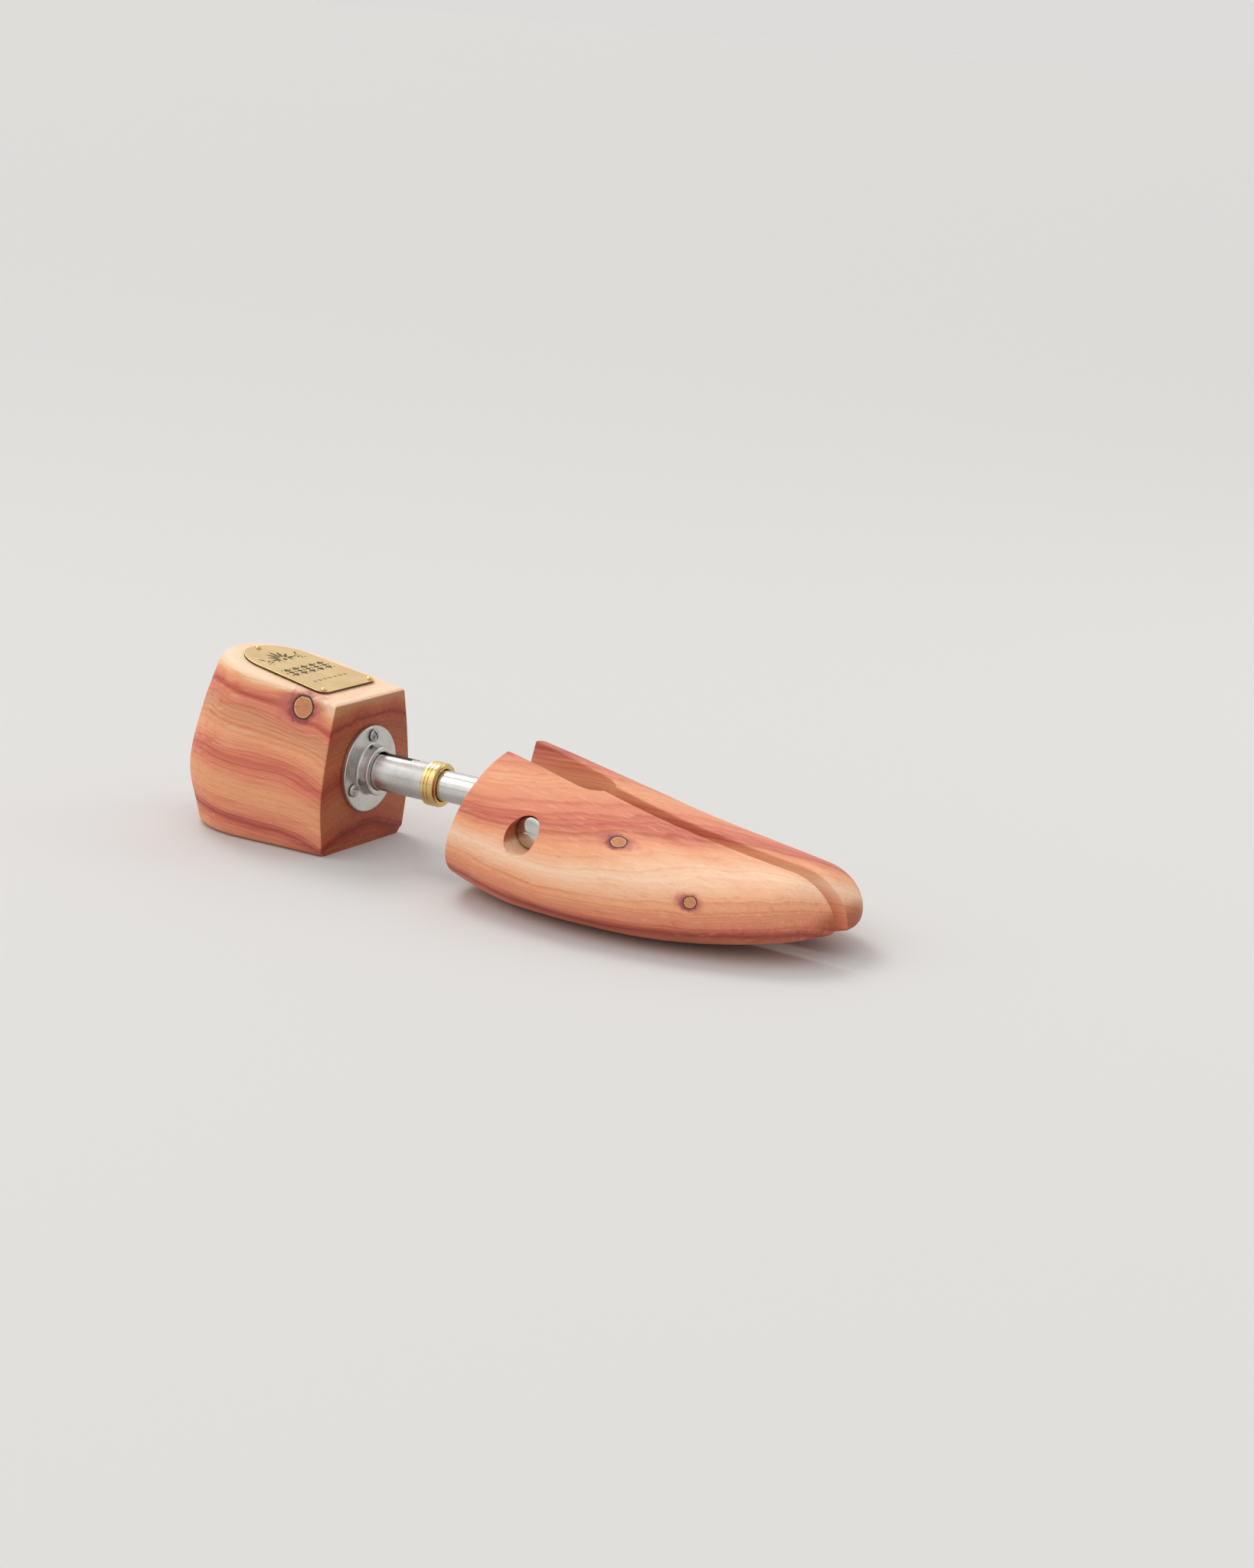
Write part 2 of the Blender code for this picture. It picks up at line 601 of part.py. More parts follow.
def make_pivot_bolt():
    """A round-headed bolt across the halves, and a slotted ring nut on its far end."""
    seat = BOLT_SEAT + GAP
    profile = [
        (0, -BOLT_HEAD_THICKNESS),
        (BOLT_HEAD_RADIUS - 1.2 * MM, -BOLT_HEAD_THICKNESS),
        (BOLT_HEAD_RADIUS, -BOLT_HEAD_THICKNESS + 1.2 * MM),
        (BOLT_HEAD_RADIUS, 0),
        (PIVOT_RADIUS, 0),
        (PIVOT_RADIUS, 2 * seat + BOLT_HEAD_THICKNESS - 1 * MM),
        (PIVOT_RADIUS - 0.5 * MM, 2 * seat + BOLT_HEAD_THICKNESS - 0.5 * MM),
        (0, 2 * seat + BOLT_HEAD_THICKNESS - 0.5 * MM),
    ]
    bolt = turned("pivot_bolt", profile, steel("bolt_steel"))
    lay(bolt, (PIVOT_X, AXIS_Y - seat, TUBE_Z), (0, 1, 0))
    nut_profile = [
        (PIVOT_RADIUS + GAP, 0),
        (BOLT_HEAD_RADIUS, 0),
        (BOLT_HEAD_RADIUS, BOLT_HEAD_THICKNESS - 0.8 * MM),
        (BOLT_HEAD_RADIUS - 0.8 * MM, BOLT_HEAD_THICKNESS),
        (PIVOT_RADIUS + GAP, BOLT_HEAD_THICKNESS),
    ]
    nut = turned("pivot_nut", nut_profile, steel("nut_steel"))
    lay(nut, (PIVOT_X, AXIS_Y + seat, TUBE_Z), (0, 1, 0))
    outer = BOLT_SEAT + BOLT_HEAD_THICKNESS
    slot_depth = 0.9 * MM
    for item, low_y in ((bolt, -outer - 1 * MM), (nut, outer - slot_depth)):
        low = (PIVOT_X - 8 * MM, AXIS_Y + low_y, TUBE_Z - 0.5 * MM)
        high = (PIVOT_X + 8 * MM, AXIS_Y + low_y + slot_depth + 1 * MM, TUBE_Z + 0.5 * MM)
        name = "cut_slot_" + item.name
        cut(item, cutter(name, box_mesh(name, low, high)))


def make_splay_springs():
    for side, name in ((-1, "lateral"), (1, "medial")):
        start = (PIVOT_X, AXIS_Y + side * (EYE_HALF_THICKNESS + GAP), TUBE_Z)
        length = SPLAY_SPRING_POCKET - EYE_HALF_THICKNESS - 2 * GAP
        label = "splay_spring_" + name
        mesh = coil_mesh(label, start, (0, side, 0), length, SPLAY_SPRING_RADIUS, SPLAY_SPRING_WIRE, 5)
        add_object(label, mesh, steel("splay_spring_steel"))
    x, z = FRONT_DOWEL
    length = 2 * (TOE_SPRING_POCKET - GAP)
    start = (x, AXIS_Y - length / 2, z)
    mesh = coil_mesh("toe_spring", start, (0, 1, 0), length, SPLAY_SPRING_RADIUS, SPLAY_SPRING_WIRE, 8)
    add_object("toe_spring", mesh, steel("toe_spring_steel"))


def sole_z(x):
    """The sole's height: flat at the ball, rising to the waist and to the toe."""
    if x < SOLE_FLAT[0]:
        return SOLE_TAIL_RISE * ((SOLE_FLAT[0] - x) / (SOLE_FLAT[0] - FOREFOOT_TAIL)) ** SOLE_CURVE
    if x > SOLE_FLAT[1]:
        return SOLE_TOE_RISE * ((x - SOLE_FLAT[1]) / (TREE_LENGTH / MM - SOLE_FLAT[1])) ** SOLE_CURVE
    return 0


def closing(x, start, power):
    """1 behind the start, falling like a superellipse to 0 at the toe's tip."""
    share = min(max((x - start) / (TREE_LENGTH / MM - start), 0), 1)
    return (1 - share**power) ** (1 / power)


def forefoot_ring(x):
    """One cross-section of the last: a domed top over a flat, round-edged sole."""
    low = sole_z(x)
    top = smooth_value(FOREFOOT_TOP_Z, x)
    widest_z = low + WIDEST_SHARE * (top - low)
    toe_z = SOLE_TOE_RISE + 1.5
    height_share = closing(x, TOE_HEIGHT_START, 2)
    half = smooth_value(FOREFOOT_HALF_WIDTH, x) * closing(x, TOE_ROUND_START, TOE_ROUND_POWER)
    centre = smooth_value(FOREFOOT_CENTRE_Y, x)
    ridge = smooth_value(FOREFOOT_RIDGE_SHIFT, x)
    steps = 40
    ring = []
    for k in range(steps):
        angle = 2 * math.pi * (k + 0.5) / steps
        across = math.copysign(abs(math.cos(angle)) ** (2 / 2.2), math.cos(angle))
        if math.sin(angle) > 0:
            rise = math.sin(angle)
            z = widest_z + rise * (top - widest_z)
            y = centre + half * across + ridge * rise
        else:
            drop = 1.12 * abs(math.sin(angle)) ** (2 / 2.6)
            z = widest_z - min(drop, 1) * (widest_z - low)
            y = centre + half * across
        z = toe_z + (z - toe_z) * height_share
        ring.append((HEEL_BACK_X + x * MM, y * MM + AXIS_Y, max(z, low if x < TOE_HEIGHT_START else 0) * MM))
    return ring


def forefoot_mesh(name):
    stations = [FOREFOOT_TAIL - 2 + k * (TOE_HEIGHT_START - FOREFOOT_TAIL + 2) / 18 for k in range(18)]
    nose = TREE_LENGTH / MM - TOE_HEIGHT_START
    steps = 9
    for k in range(steps):
        stations.append(TOE_HEIGHT_START + nose * math.sin(math.pi / 2 * (k + 0.02) / (steps - 0.5)))
    return ring_mesh(name, [forefoot_ring(x) for x in stations])


def tube_slot_mesh(name):
    """The slot the tube swings in: open at the tail and the top, round at its front end."""
    steps = 12
    open_x = HEEL_BACK_X + 115 * MM
    outline = [(open_x, AXIS_Y + TUBE_SLOT_HALF_WIDTH), (open_x, AXIS_Y - TUBE_SLOT_HALF_WIDTH)]
    for k in range(steps + 1):
        angle = math.pi * (k / steps - 0.5)
        x = PIVOT_X + TUBE_SLOT_FRONT + TUBE_SLOT_HALF_WIDTH * math.cos(angle)
        outline.append((x, AXIS_Y + TUBE_SLOT_HALF_WIDTH * math.sin(angle)))
    return ring_mesh(name, [[(x, y, z) for x, y in outline] for z in (TUBE_SLOT_FLOOR_Z, 90 * MM)])


def make_toe_half(name, side):
    """One half of the forefoot, side -1 lateral or 1 medial, with its slot, bores and pockets."""
    half = add_object(name, forefoot_mesh(name), cedar(name + "_cedar"))
    far = 90 * MM
    inner = AXIS_Y + side * SPLIT_GAP / 2
    other = AXIS_Y - side * far
    low = (-far, min(inner, other), -far)
    high = (2 * far, max(inner, other), far)
    cut(half, cutter("cut_split_" + name, box_mesh("cut_split_" + name, low, high)))
    tail = cutter("cut_tail_" + name, box_mesh("cut_tail_" + name, (-0.05, -far, -far), (0, far, far)))
    tail.rotation_euler = (0, TAIL_LEAN, 0)
    tail.location = (HEEL_BACK_X + FOREFOOT_TAIL * MM, 0, 0)
    cut(half, tail)
    cut(half, cutter("cut_slot_" + name, tube_slot_mesh("cut_slot_" + name)))
    out = (0, side, 0)
    pivot = (PIVOT_X, AXIS_Y, TUBE_Z)
    drill(half, "cut_pivot_" + name, pivot, out, PIVOT_RADIUS + GAP, far)
    drill(half, "cut_pocket_" + name, pivot, out, SPLAY_SPRING_RADIUS + 2 * GAP, SPLAY_SPRING_POCKET)
    head = (PIVOT_X, AXIS_Y + side * BOLT_SEAT, TUBE_Z)
    drill(half, "cut_head_" + name, head, out, BOLT_HEAD_RADIUS + 2 * GAP, far)
    reach = {-1: (26 * MM, 20 * MM), 1: (30 * MM, 27 * MM)}[side]
    for label, (x, z), depth in (("front", FRONT_DOWEL, reach[0]), ("toe", TOE_DOWEL, reach[1])):
        drill(half, f"cut_{label}_dowel_{name}", (x, AXIS_Y, z), out, DOWEL_RADIUS + GAP, depth)
    x, z = FRONT_DOWEL
    drill(half, "cut_spring_" + name, (x, AXIS_Y, z), out, SPLAY_SPRING_RADIUS + 2 * GAP, TOE_SPRING_POCKET)


def make_dowels():
    for label, (x, z), start, end in (("front", FRONT_DOWEL, -25, 22), ("toe", TOE_DOWEL, -19, 19)):
        profile = pin_profile(DOWEL_RADIUS, (end - start) * MM, 0.6 * MM)
        dowel = turned(f"{label}_dowel", profile, steel(label + "_dowel_steel"))
        lay(dowel, (x, AXIS_Y + start * MM, z), (0, 1, 0))


def main():
    clear_scene()
    make_heel_block()
    make_plate()
    make_plate_pins()
    make_outer_tube()
    make_flange()
    make_tube_spring()
    make_inner_tube()
    make_pivot_eye()
    make_pivot_bolt()
    make_splay_springs()
    make_toe_half("toe_lateral", -1)
    make_toe_half("toe_medial", 1)
    make_dowels()


main()
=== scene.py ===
"""The looks of a split-toe cedar shoe tree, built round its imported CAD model.

Metres: +X from the heel to the toe, +Y to the inner side of the foot, +Z up.
"""
import json
import math

import bmesh
import bpy
from mathutils import Matrix, Vector


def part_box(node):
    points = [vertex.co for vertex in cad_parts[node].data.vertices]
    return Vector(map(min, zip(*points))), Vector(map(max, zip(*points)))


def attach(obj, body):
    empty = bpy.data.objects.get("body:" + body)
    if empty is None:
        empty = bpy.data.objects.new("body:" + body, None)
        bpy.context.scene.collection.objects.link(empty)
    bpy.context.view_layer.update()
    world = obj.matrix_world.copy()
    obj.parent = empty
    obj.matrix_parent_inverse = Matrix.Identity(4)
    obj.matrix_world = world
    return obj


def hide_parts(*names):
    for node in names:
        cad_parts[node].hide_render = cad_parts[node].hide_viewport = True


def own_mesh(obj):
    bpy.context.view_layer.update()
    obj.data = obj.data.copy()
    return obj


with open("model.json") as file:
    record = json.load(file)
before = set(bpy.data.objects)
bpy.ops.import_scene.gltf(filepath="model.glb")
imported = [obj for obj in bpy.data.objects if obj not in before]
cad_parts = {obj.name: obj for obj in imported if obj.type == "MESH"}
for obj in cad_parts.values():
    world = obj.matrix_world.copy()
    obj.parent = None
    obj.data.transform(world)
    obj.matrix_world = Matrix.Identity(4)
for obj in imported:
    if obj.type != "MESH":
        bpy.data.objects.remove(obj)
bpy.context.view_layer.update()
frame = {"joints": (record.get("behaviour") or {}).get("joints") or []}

MM = 0.001

# Places read from the frame.
BLOCK_LOW, BLOCK_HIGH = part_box("heel_block")
HEEL_BACK_X = BLOCK_LOW[0]
BLOCK_FRONT_X = BLOCK_HIGH[0]
BLOCK_LENGTH = BLOCK_FRONT_X - HEEL_BACK_X
TUBE_LOW, TUBE_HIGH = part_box("outer_tube")
AXIS_Y = (TUBE_LOW[1] + TUBE_HIGH[1]) / 2
TUBE_Z = (TUBE_LOW[2] + TUBE_HIGH[2]) / 2
OUTER_TUBE_RADIUS = (TUBE_HIGH[2] - TUBE_LOW[2]) / 2
JOINTS = {joint["name"]: joint for joint in frame["joints"]}
PIVOT = Vector(JOINTS["forefoot_hinge"]["pos_m"])
PIVOT_X = PIVOT.x
SLIDE_TRAVEL = JOINTS["tube_slide"]["range_m"][1]

# Heel block, as in the CAD model.
BLOCK_TOP_Z = 71 * MM
BORE_SLACK = 0.25 * MM
POCKET_SLACK = 0.6 * MM
TOP_SLOPE = math.radians(9)
BACK_CURVE_LENGTH = 31 * MM
BACK_FULLNESS = 2.15
SEAT_ROUND = 4 * MM
FRONT_EDGE_ROUND = 0.7 * MM
ROUND_LEVEL = 0.94
TOP_ROUND_BACK = 7 * MM
TOP_ROUND_FRONT = 1.0 * MM
BLOCK_BACK_INSET = [(0, 4.0), (0.3, 0), (0.65, 3.4), (1, 9.5)]
BLOCK_REAR_HALF_WIDTH = [(0, 29.0), (0.3, 31.5), (0.65, 29.0), (1, 23.6)]
BLOCK_FRONT_HALF_WIDTH = [(0, 27.5), (0.3, 29.5), (0.65, 27.0), (1, 22.5)]

# Plate and pins, measured along the sloping top from the rear pin.
REAR_PIN_X = HEEL_BACK_X + 21.2 * MM
PIN_ROW_LENGTH = 43.5 * MM
PIN_ROW_HALF_WIDTH = 15 * MM
PLATE_BOTTOM = 0.28 * MM
PLATE_TOP = 1.1 * MM
PLATE_REAR_MARGIN = 2.5 * MM
PLATE_FRONT_MARGIN = 2.2 * MM
PLATE_REAR_RADIUS = 16.3 * MM
PLATE_FRONT_HALF_WIDTH = 18 * MM
PLATE_CORNER_RADIUS = 4 * MM
ENGRAVING_DEPTH = 0.16 * MM
PIN_HEAD_RADIUS = 1.3 * MM
PIN_SHANK_RADIUS = 0.55 * MM

# Forefoot, as in the CAD model. Lengths are in millimetres from the heel's back.
TREE_LENGTH = (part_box("toe_medial")[1][0] - HEEL_BACK_X) / MM
FOREFOOT_TAIL = 134
FOREFOOT_CENTRE_Y = [(120, -2.6), (180, -1.6), (230, 1.6), (284, 6.5)]
FOREFOOT_HALF_WIDTH = [(120, 31), (145, 37), (170, 43.6), (192, 46.6), (215, 46.6), (250, 45.5), (284, 45)]
FOREFOOT_TOP_Z = [(120, 59), (150, 53), (180, 45.5), (210, 38.5), (240, 33.5), (265, 30.5), (284, 29)]
FOREFOOT_RIDGE_SHIFT = [(120, 5.0), (180, 3.5), (230, 1.0), (284, 0)]
SOLE_FLAT = (168, 212)
SOLE_TAIL_RISE = 5.5
SOLE_TOE_RISE = 9.5
TOE_ROUND_START = 204
TOE_ROUND_POWER = 2.35
TOE_HEIGHT_START = 264
TAIL_LEAN = math.radians(12)
TAIL_EDGE = 0.5
SPLIT_HALF_GAP = 4
SLOT_HALF_WIDTH = 9.5
SLOT_FLOOR = TUBE_Z / MM - 10.5
SLOT_END_CENTRE = (PIVOT_X - HEEL_BACK_X) / MM + 4
SECTION_SHIFT = 0.75 * MM

# Metal pieces, as in the CAD model.
TUBE_BORE = 6.3 * MM
TUBE_SLOT_HALF = 1.8 * MM
INNER_TUBE_RADIUS = 6 * MM
INNER_TUBE_BORE = 5 * MM
STOP_PIN_RADIUS = 1.5 * MM
STOP_PIN_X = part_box("stop_pin")[0][0] + STOP_PIN_RADIUS
RIVET_RADIUS = 1.5 * MM
EYE_RIVET_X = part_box("eye_rivet")[0][0] + RIVET_RADIUS
PIN_SLACK = 0.12 * MM
COLLAR_BORE = 6.25 * MM
COLLAR_RADIUS = 8.6 * MM
COLLAR_GROOVE_RADIUS = 8.25 * MM
COLLAR_LIP = 1.1 * MM
FLANGE_RADIUS = 17 * MM
FLANGE_THICKNESS = 1.8 * MM
FLANGE_NECK_RADIUS = 9.6 * MM
FLANGE_SCREWS = 3
# Radius and height.
FLANGE_SCREW_HEAD = (2.6 * MM, 1.7 * MM)
PIVOT_RADIUS = 3 * MM
EYE_RADIUS = 7 * MM
EYE_HALF_THICKNESS = 4 * MM
EYE_SHANK_RADIUS = 4.7 * MM
BOLT_SEAT = 31 * MM
BOLT_HEAD_RADIUS = 6 * MM
BOLT_HEAD_THICKNESS = 3 * MM
# Half the width, and the depth.
BOLT_SLOT = (0.5 * MM, 1.1 * MM)
NUT_SLACK = 0.2 * MM
SPLAY_SPRING_POCKET = 16 * MM
# Springs: outer radius, the wire's radius, and turns.
TUBE_SPRING = (5.7 * MM, 0.7 * MM, 13)
SPLAY_SPRING = (5.2 * MM, 0.6 * MM, 5)
TOE_SPRING = (5.2 * MM, 0.6 * MM, 8)
TOE_SPRING_POCKET = 12 * MM
DOWEL_RADIUS = 3 * MM
FRONT_DOWEL = (HEEL_BACK_X + 214 * MM, 17 * MM)
TOE_DOWEL = (HEEL_BACK_X + 245 * MM, 16 * MM)
# Depths of the front and the toe dowels' bores in the lateral and the medial half.
DOWEL_BORES = {-1: (26 * MM, 20 * MM), 1: (30 * MM, 27 * MM)}
# Solid pins: CAD node, axis, body, rounding, facets round, and steps in the rounding.
PINS = {
    "seat_disc": ("spring_seat", 0, "heel", 0.4 * MM, 96, 4),
    "plug_disc": ("inner_tube_plug", 0, "slider", 0.4 * MM, 96, 4),
    "stop_stud": ("stop_pin", 2, "slider", 0.35 * MM, 48, 4),
    "eye_stud": ("eye_rivet", 1, "slider", 0.4 * MM, 48, 4),
    "front_guide_rod": ("front_dowel", 1, "toe_lateral", 0.8 * MM, 96, 6),
    "toe_guide_rod": ("toe_dowel", 1, "toe_lateral", 0.8 * MM, 96, 6),
}

# Relief of the finest figure.
METAL_RELIEF = 0.04 * MM
WOOD_RELIEF = 0.12 * MM

# The heel block's grain sinks behind the first place and droops ahead of the second, in millimetres.
DIP_START = -120
DROOP_START = -87

# Cedar's colours, linear, from sapwood to heartwood.
WHITE_CREAM = (0.92, 0.67, 0.47)
CREAM = (0.92, 0.63, 0.43)
DULL_CREAM = (0.85, 0.50, 0.33)
PALE = (0.91, 0.60, 0.35)
PEACH = (0.85, 0.39, 0.205)
TAN = (0.79, 0.355, 0.185)
DEEP_TAN = (0.68, 0.30, 0.16)
LIGHT_SALMON = (0.80, 0.31, 0.17)
SALMON = (0.74, 0.25, 0.15)
DEEP_SALMON = (0.70, 0.26, 0.15)
RED = (0.61, 0.16, 0.105)
DARK_RED = (0.53, 0.12, 0.08)
PURPLE = (0.46, 0.10, 0.075)
PALE_STREAK = (0.92, 0.66, 0.42)

# Tints that its figure multiplies them by.
LATEWOOD = (0.58, 0.26, 0.21)
DARK_STREAK = (0.88, 0.68, 0.62)
FIBRE = (0.80, 0.62, 0.52)
FINE_FIBRE = (0.74, 0.52, 0.42)
PORE = (0.55, 0.30, 0.24)
# Partly end grain's own darker colour, deepened further as painted shade on faces across X, such as the
# block's front.
END_GRAIN_AND_SHADE = (0.56, 0.37, 0.29)

# A knot's colours, its heart's place in radii, and its rings in a radius.
KNOT_HALO = (0.52, 0.14, 0.115)
KNOT_STAIN = (0.27, 0.055, 0.060)
KNOT_WOOD = (0.66, 0.275, 0.12)
KNOT_LINE = (0.38, 0.13, 0.06)
KNOT_CORE = (0.42, 0.19, 0.10)
KNOT_RIM = (0.80, 0.52, 0.27)
KNOT_CHECK = (0.10, 0.045, 0.025)
KNOT_FIBRE = (0.30, 0.13, 0.06)
KNOT_BARK = ((0.035, 0.016, 0.012), (0.11, 0.045, 0.03))
KNOT_HEART = (0.22, 0.12)
KNOT_RINGS = 5.2

# The studio.
FLOOR_COLOUR = (0.63, 0.625, 0.617)
HORIZON = (0.725, 0.715, 0.701)
SKY_TINT = (1, 0.985, 0.97)
# The sky's brightness at heights from the horizon, 0, to overhead, 1.
SKY_LEVELS = [(0.25, 0.50), (0.42, 0.45), (0.62, 0.66), (0.80, 0.76), (1.0, 0.76)]
# Soft panels in the sky: direction, where the edge starts and ends, and brightness.
PANELS = [
    ((-0.38, 0.80, 0.50), 0.72, 0.93, 0.45),
    ((-0.30, -0.85, 0.42), 0.45, 0.90, 0.62),
]
# The panels fade in between these heights, so that the floor meets a plain horizon.
PANEL_RISE = (0.08, 0.30)
CAMERA_PLACE = (0.5830, -0.9488, 0.3219)
# The camera's azimuth, its tilt down, and its roll, in degrees.
CAMERA_ANGLES = (119.33, 14.15, 4.71)


# ---------------------------------------------------------------- mesh helpers


def smooth_value(points, at):
    """Read a smooth curve through the (place, value) points, with level ends beyond them."""
    if at <= points[0][0]:
        return points[0][1]
    for i in range(len(points) - 1):
        (x0, y0), (x1, y1) = points[i], points[i + 1]
        if at <= x1:
            before = points[max(i - 1, 0)]
            after = points[min(i + 2, len(points) - 1)]
            slope0 = (y1 - before[1]) / (x1 - before[0])
            slope1 = (after[1] - y0) / (after[0] - x0)
            span = x1 - x0
            t = (at - x0) / span
            return (
                (2 * t**3 - 3 * t**2 + 1) * y0
                + (t**3 - 2 * t**2 + t) * span * slope0
                + (3 * t**2 - 2 * t**3) * y1
                + (t**3 - t**2) * span * slope1
            )
    return points[-1][1]


def mesh_object(name, work, sharp=40):
    """Make an object of a bmesh, with outward faces, smooth but for its sharp edges."""
    bmesh.ops.recalc_face_normals(work, faces=work.faces)
    mesh = bpy.data.meshes.new(name)
    work.to_mesh(mesh)
    work.free()
    mesh.shade_smooth()
    mesh.set_sharp_from_angle(angle=math.radians(sharp))
    made = bpy.data.objects.new(name, mesh)
    bpy.context.collection.objects.link(made)
    return made


def add_loft(work, rings):
    """Join equal rings of points by quads in a bmesh, and cap the two ends."""
    loops = [[work.verts.new(point) for point in ring] for ring in rings]
    for low, high in zip(loops, loops[1:]):
        for i in range(len(low)):
            j = (i + 1) % len(low)
            work.faces.new((low[i], low[j], high[j], high[i]))
    work.faces.new(loops[0][::-1])
    work.faces.new(loops[-1])


def loft(name, rings, sharp=40):
    work = bmesh.new()
    add_loft(work, rings)
    return mesh_object(name, work, sharp)


def turned(name, profile, origin, axis, facets=96):
    """Turn a (radius, height) profile about an axis. A profile off the axis makes a ring."""
    work = bmesh.new()
    loops = []
    for radius, height in profile:
        if radius == 0:
            loops.append([work.verts.new((0, 0, height))])
            continue
        loop = []
        for k in range(facets):
            angle = 2 * math.pi * k / facets
            loop.append(work.verts.new((radius * math.cos(angle), radius * math.sin(angle), height)))
        loops.append(loop)
    if profile[0][0] > 0:
        loops.append(loops[0])
    for low, high in zip(loops, loops[1:]):
        for k in range(facets):
            j = (k + 1) % facets
            corners = [low[k % len(low)], low[j % len(low)], high[j % len(high)], high[k % len(high)]]
            work.faces.new(list(dict.fromkeys(corners)))
    turn = Vector((0, 0, 1)).rotation_difference(Vector(axis)).to_matrix().to_4x4()
    work.transform(Matrix.Translation(Vector(origin)) @ turn)
    return mesh_object(name, work)


def box_object(name, low, high):
    work = bmesh.new()
    bmesh.ops.create_cube(work, size=1)
    middle = (Vector(low) + Vector(high)) / 2
    size = Vector(high) - Vector(low)
    bmesh.ops.transform(work, matrix=Matrix.LocRotScale(middle, None, size), verts=work.verts)
    return mesh_object(name, work)


def bake_modifiers(item):
    """Replace an object's mesh by what its modifiers make of it, and drop them."""
    graph = bpy.context.evaluated_depsgraph_get()
    mesh = bpy.data.meshes.new_from_object(item.evaluated_get(graph), depsgraph=graph)
    item.modifiers.clear()
    item.data = mesh


def clean_cut(item):
    """Divide a cut mesh's large faces, and close the hair-thin gaps along its straight runs of points."""
    work = bmesh.new()
    work.from_mesh(item.data)
    bmesh.ops.triangulate(work, faces=[face for face in work.faces if len(face.verts) > 4])
    gaps = [edge for edge in work.edges if edge.is_boundary]
    bmesh.ops.holes_fill(work, edges=gaps, sides=0)
    work.to_mesh(item.data)
    work.free()


def combine(item, tools, operation="DIFFERENCE", sharp=40):
    """Cut the tools from an object, or join them to it, and remove them."""
    for tool in tools:
        change = item.modifiers.new(tool.name, "BOOLEAN")
        change.operation = operation
        change.solver = "EXACT"
        change.object = tool
    bake_modifiers(item)
    clean_cut(item)
    for tool in tools:
        bpy.data.objects.remove(tool, do_unlink=True)
    item.data.shade_smooth()
    item.data.set_sharp_from_angle(angle=math.radians(sharp))
    return item


def rod(name, origin, axis, radius, length, facets=64):
    """A plain cutter."""
    return turned(name, [(0, 0), (radius, 0), (radius, length), (0, length)], origin, axis, facets)


def dome(radius, rim, rise, steps, power=1.0):
    """A (radius, height) profile from a dome's middle out to its rim."""
    points = [(0, rim + rise)]
    for k in range(1, steps + 1):
        angle = math.pi / 2 * k / steps
        points.append((radius * math.sin(angle), rim + rise * math.cos(angle) ** power))
    return points


def arc(centre, radius, start, end, steps):
    """Points (a, b) on an arc, angles in degrees."""
    points = []
    for k in range(steps + 1):
        angle = math.radians(start + (end - start) * k / steps)
        points.append((centre[0] + radius * math.cos(angle), centre[1] + radius * math.sin(angle)))
    return points


def inset_outline(points, insets):
    """Move each point of a closed outline inwards by its own inset. The inside is on its right."""
    moved = []
    for i, point in enumerate(points):
        before = (point - points[i - 1]).normalized()
        after = (points[(i + 1) % len(points)] - point).normalized()
        inward = Vector((before.y + after.y, -before.x - after.x)).normalized()
        corner = max(inward.dot(Vector((after.y, -after.x))), 0.5)
        moved.append(point + inward * insets[i] / corner)
    return moved


def coil(name, start, axis, length, radius, wire, turns):
    """A helical wire as one closed tube, its ends wound flat, from a place along an axis."""
    coil_facets = 40
    wire_facets = 12
    steps = turns * coil_facets
    flat = 0.4 / turns
    turn_to = Vector((0, 0, 1)).rotation_difference(Vector(axis)).to_matrix()
    rings = []
    for k in range(steps + 1):
        lift = min(max((k / steps - flat) / (1 - 2 * flat), 0), 1)
        angle = 2 * math.pi * k / coil_facets
        outward = Vector((math.cos(angle), math.sin(angle), 0))
        centre = outward * (radius - wire) + Vector((0, 0, wire + lift * (length - 2 * wire)))
        ring = []
        for w in range(wire_facets):
            around = 2 * math.pi * w / wire_facets
            point = centre + wire * (outward * math.cos(around) + Vector((0, 0, math.sin(around))))
            ring.append(Vector(start) + turn_to @ point)
        rings.append(ring)
    return loft(name, rings)


def dress(item, body, slot, paint, *nodes):
    """Give a piece its finish, its body, and the CAD nodes that it stands for."""
    item.data.materials.clear()
    item.data.materials.append(paint)
    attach(item, body)
    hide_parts(*nodes)


# ---------------------------------------------------------------- heel block


def block_top_z(x):
    return BLOCK_TOP_Z - math.tan(TOP_SLOPE) * (x - HEEL_BACK_X)


def top_round(x):
    """The roundover's radius, wide at the back and fine at the front."""
    share = min(max((BLOCK_FRONT_X - x) / BLOCK_LENGTH, 0), 1)
    return TOP_ROUND_FRONT + (TOP_ROUND_BACK - TOP_ROUND_FRONT) * share**2


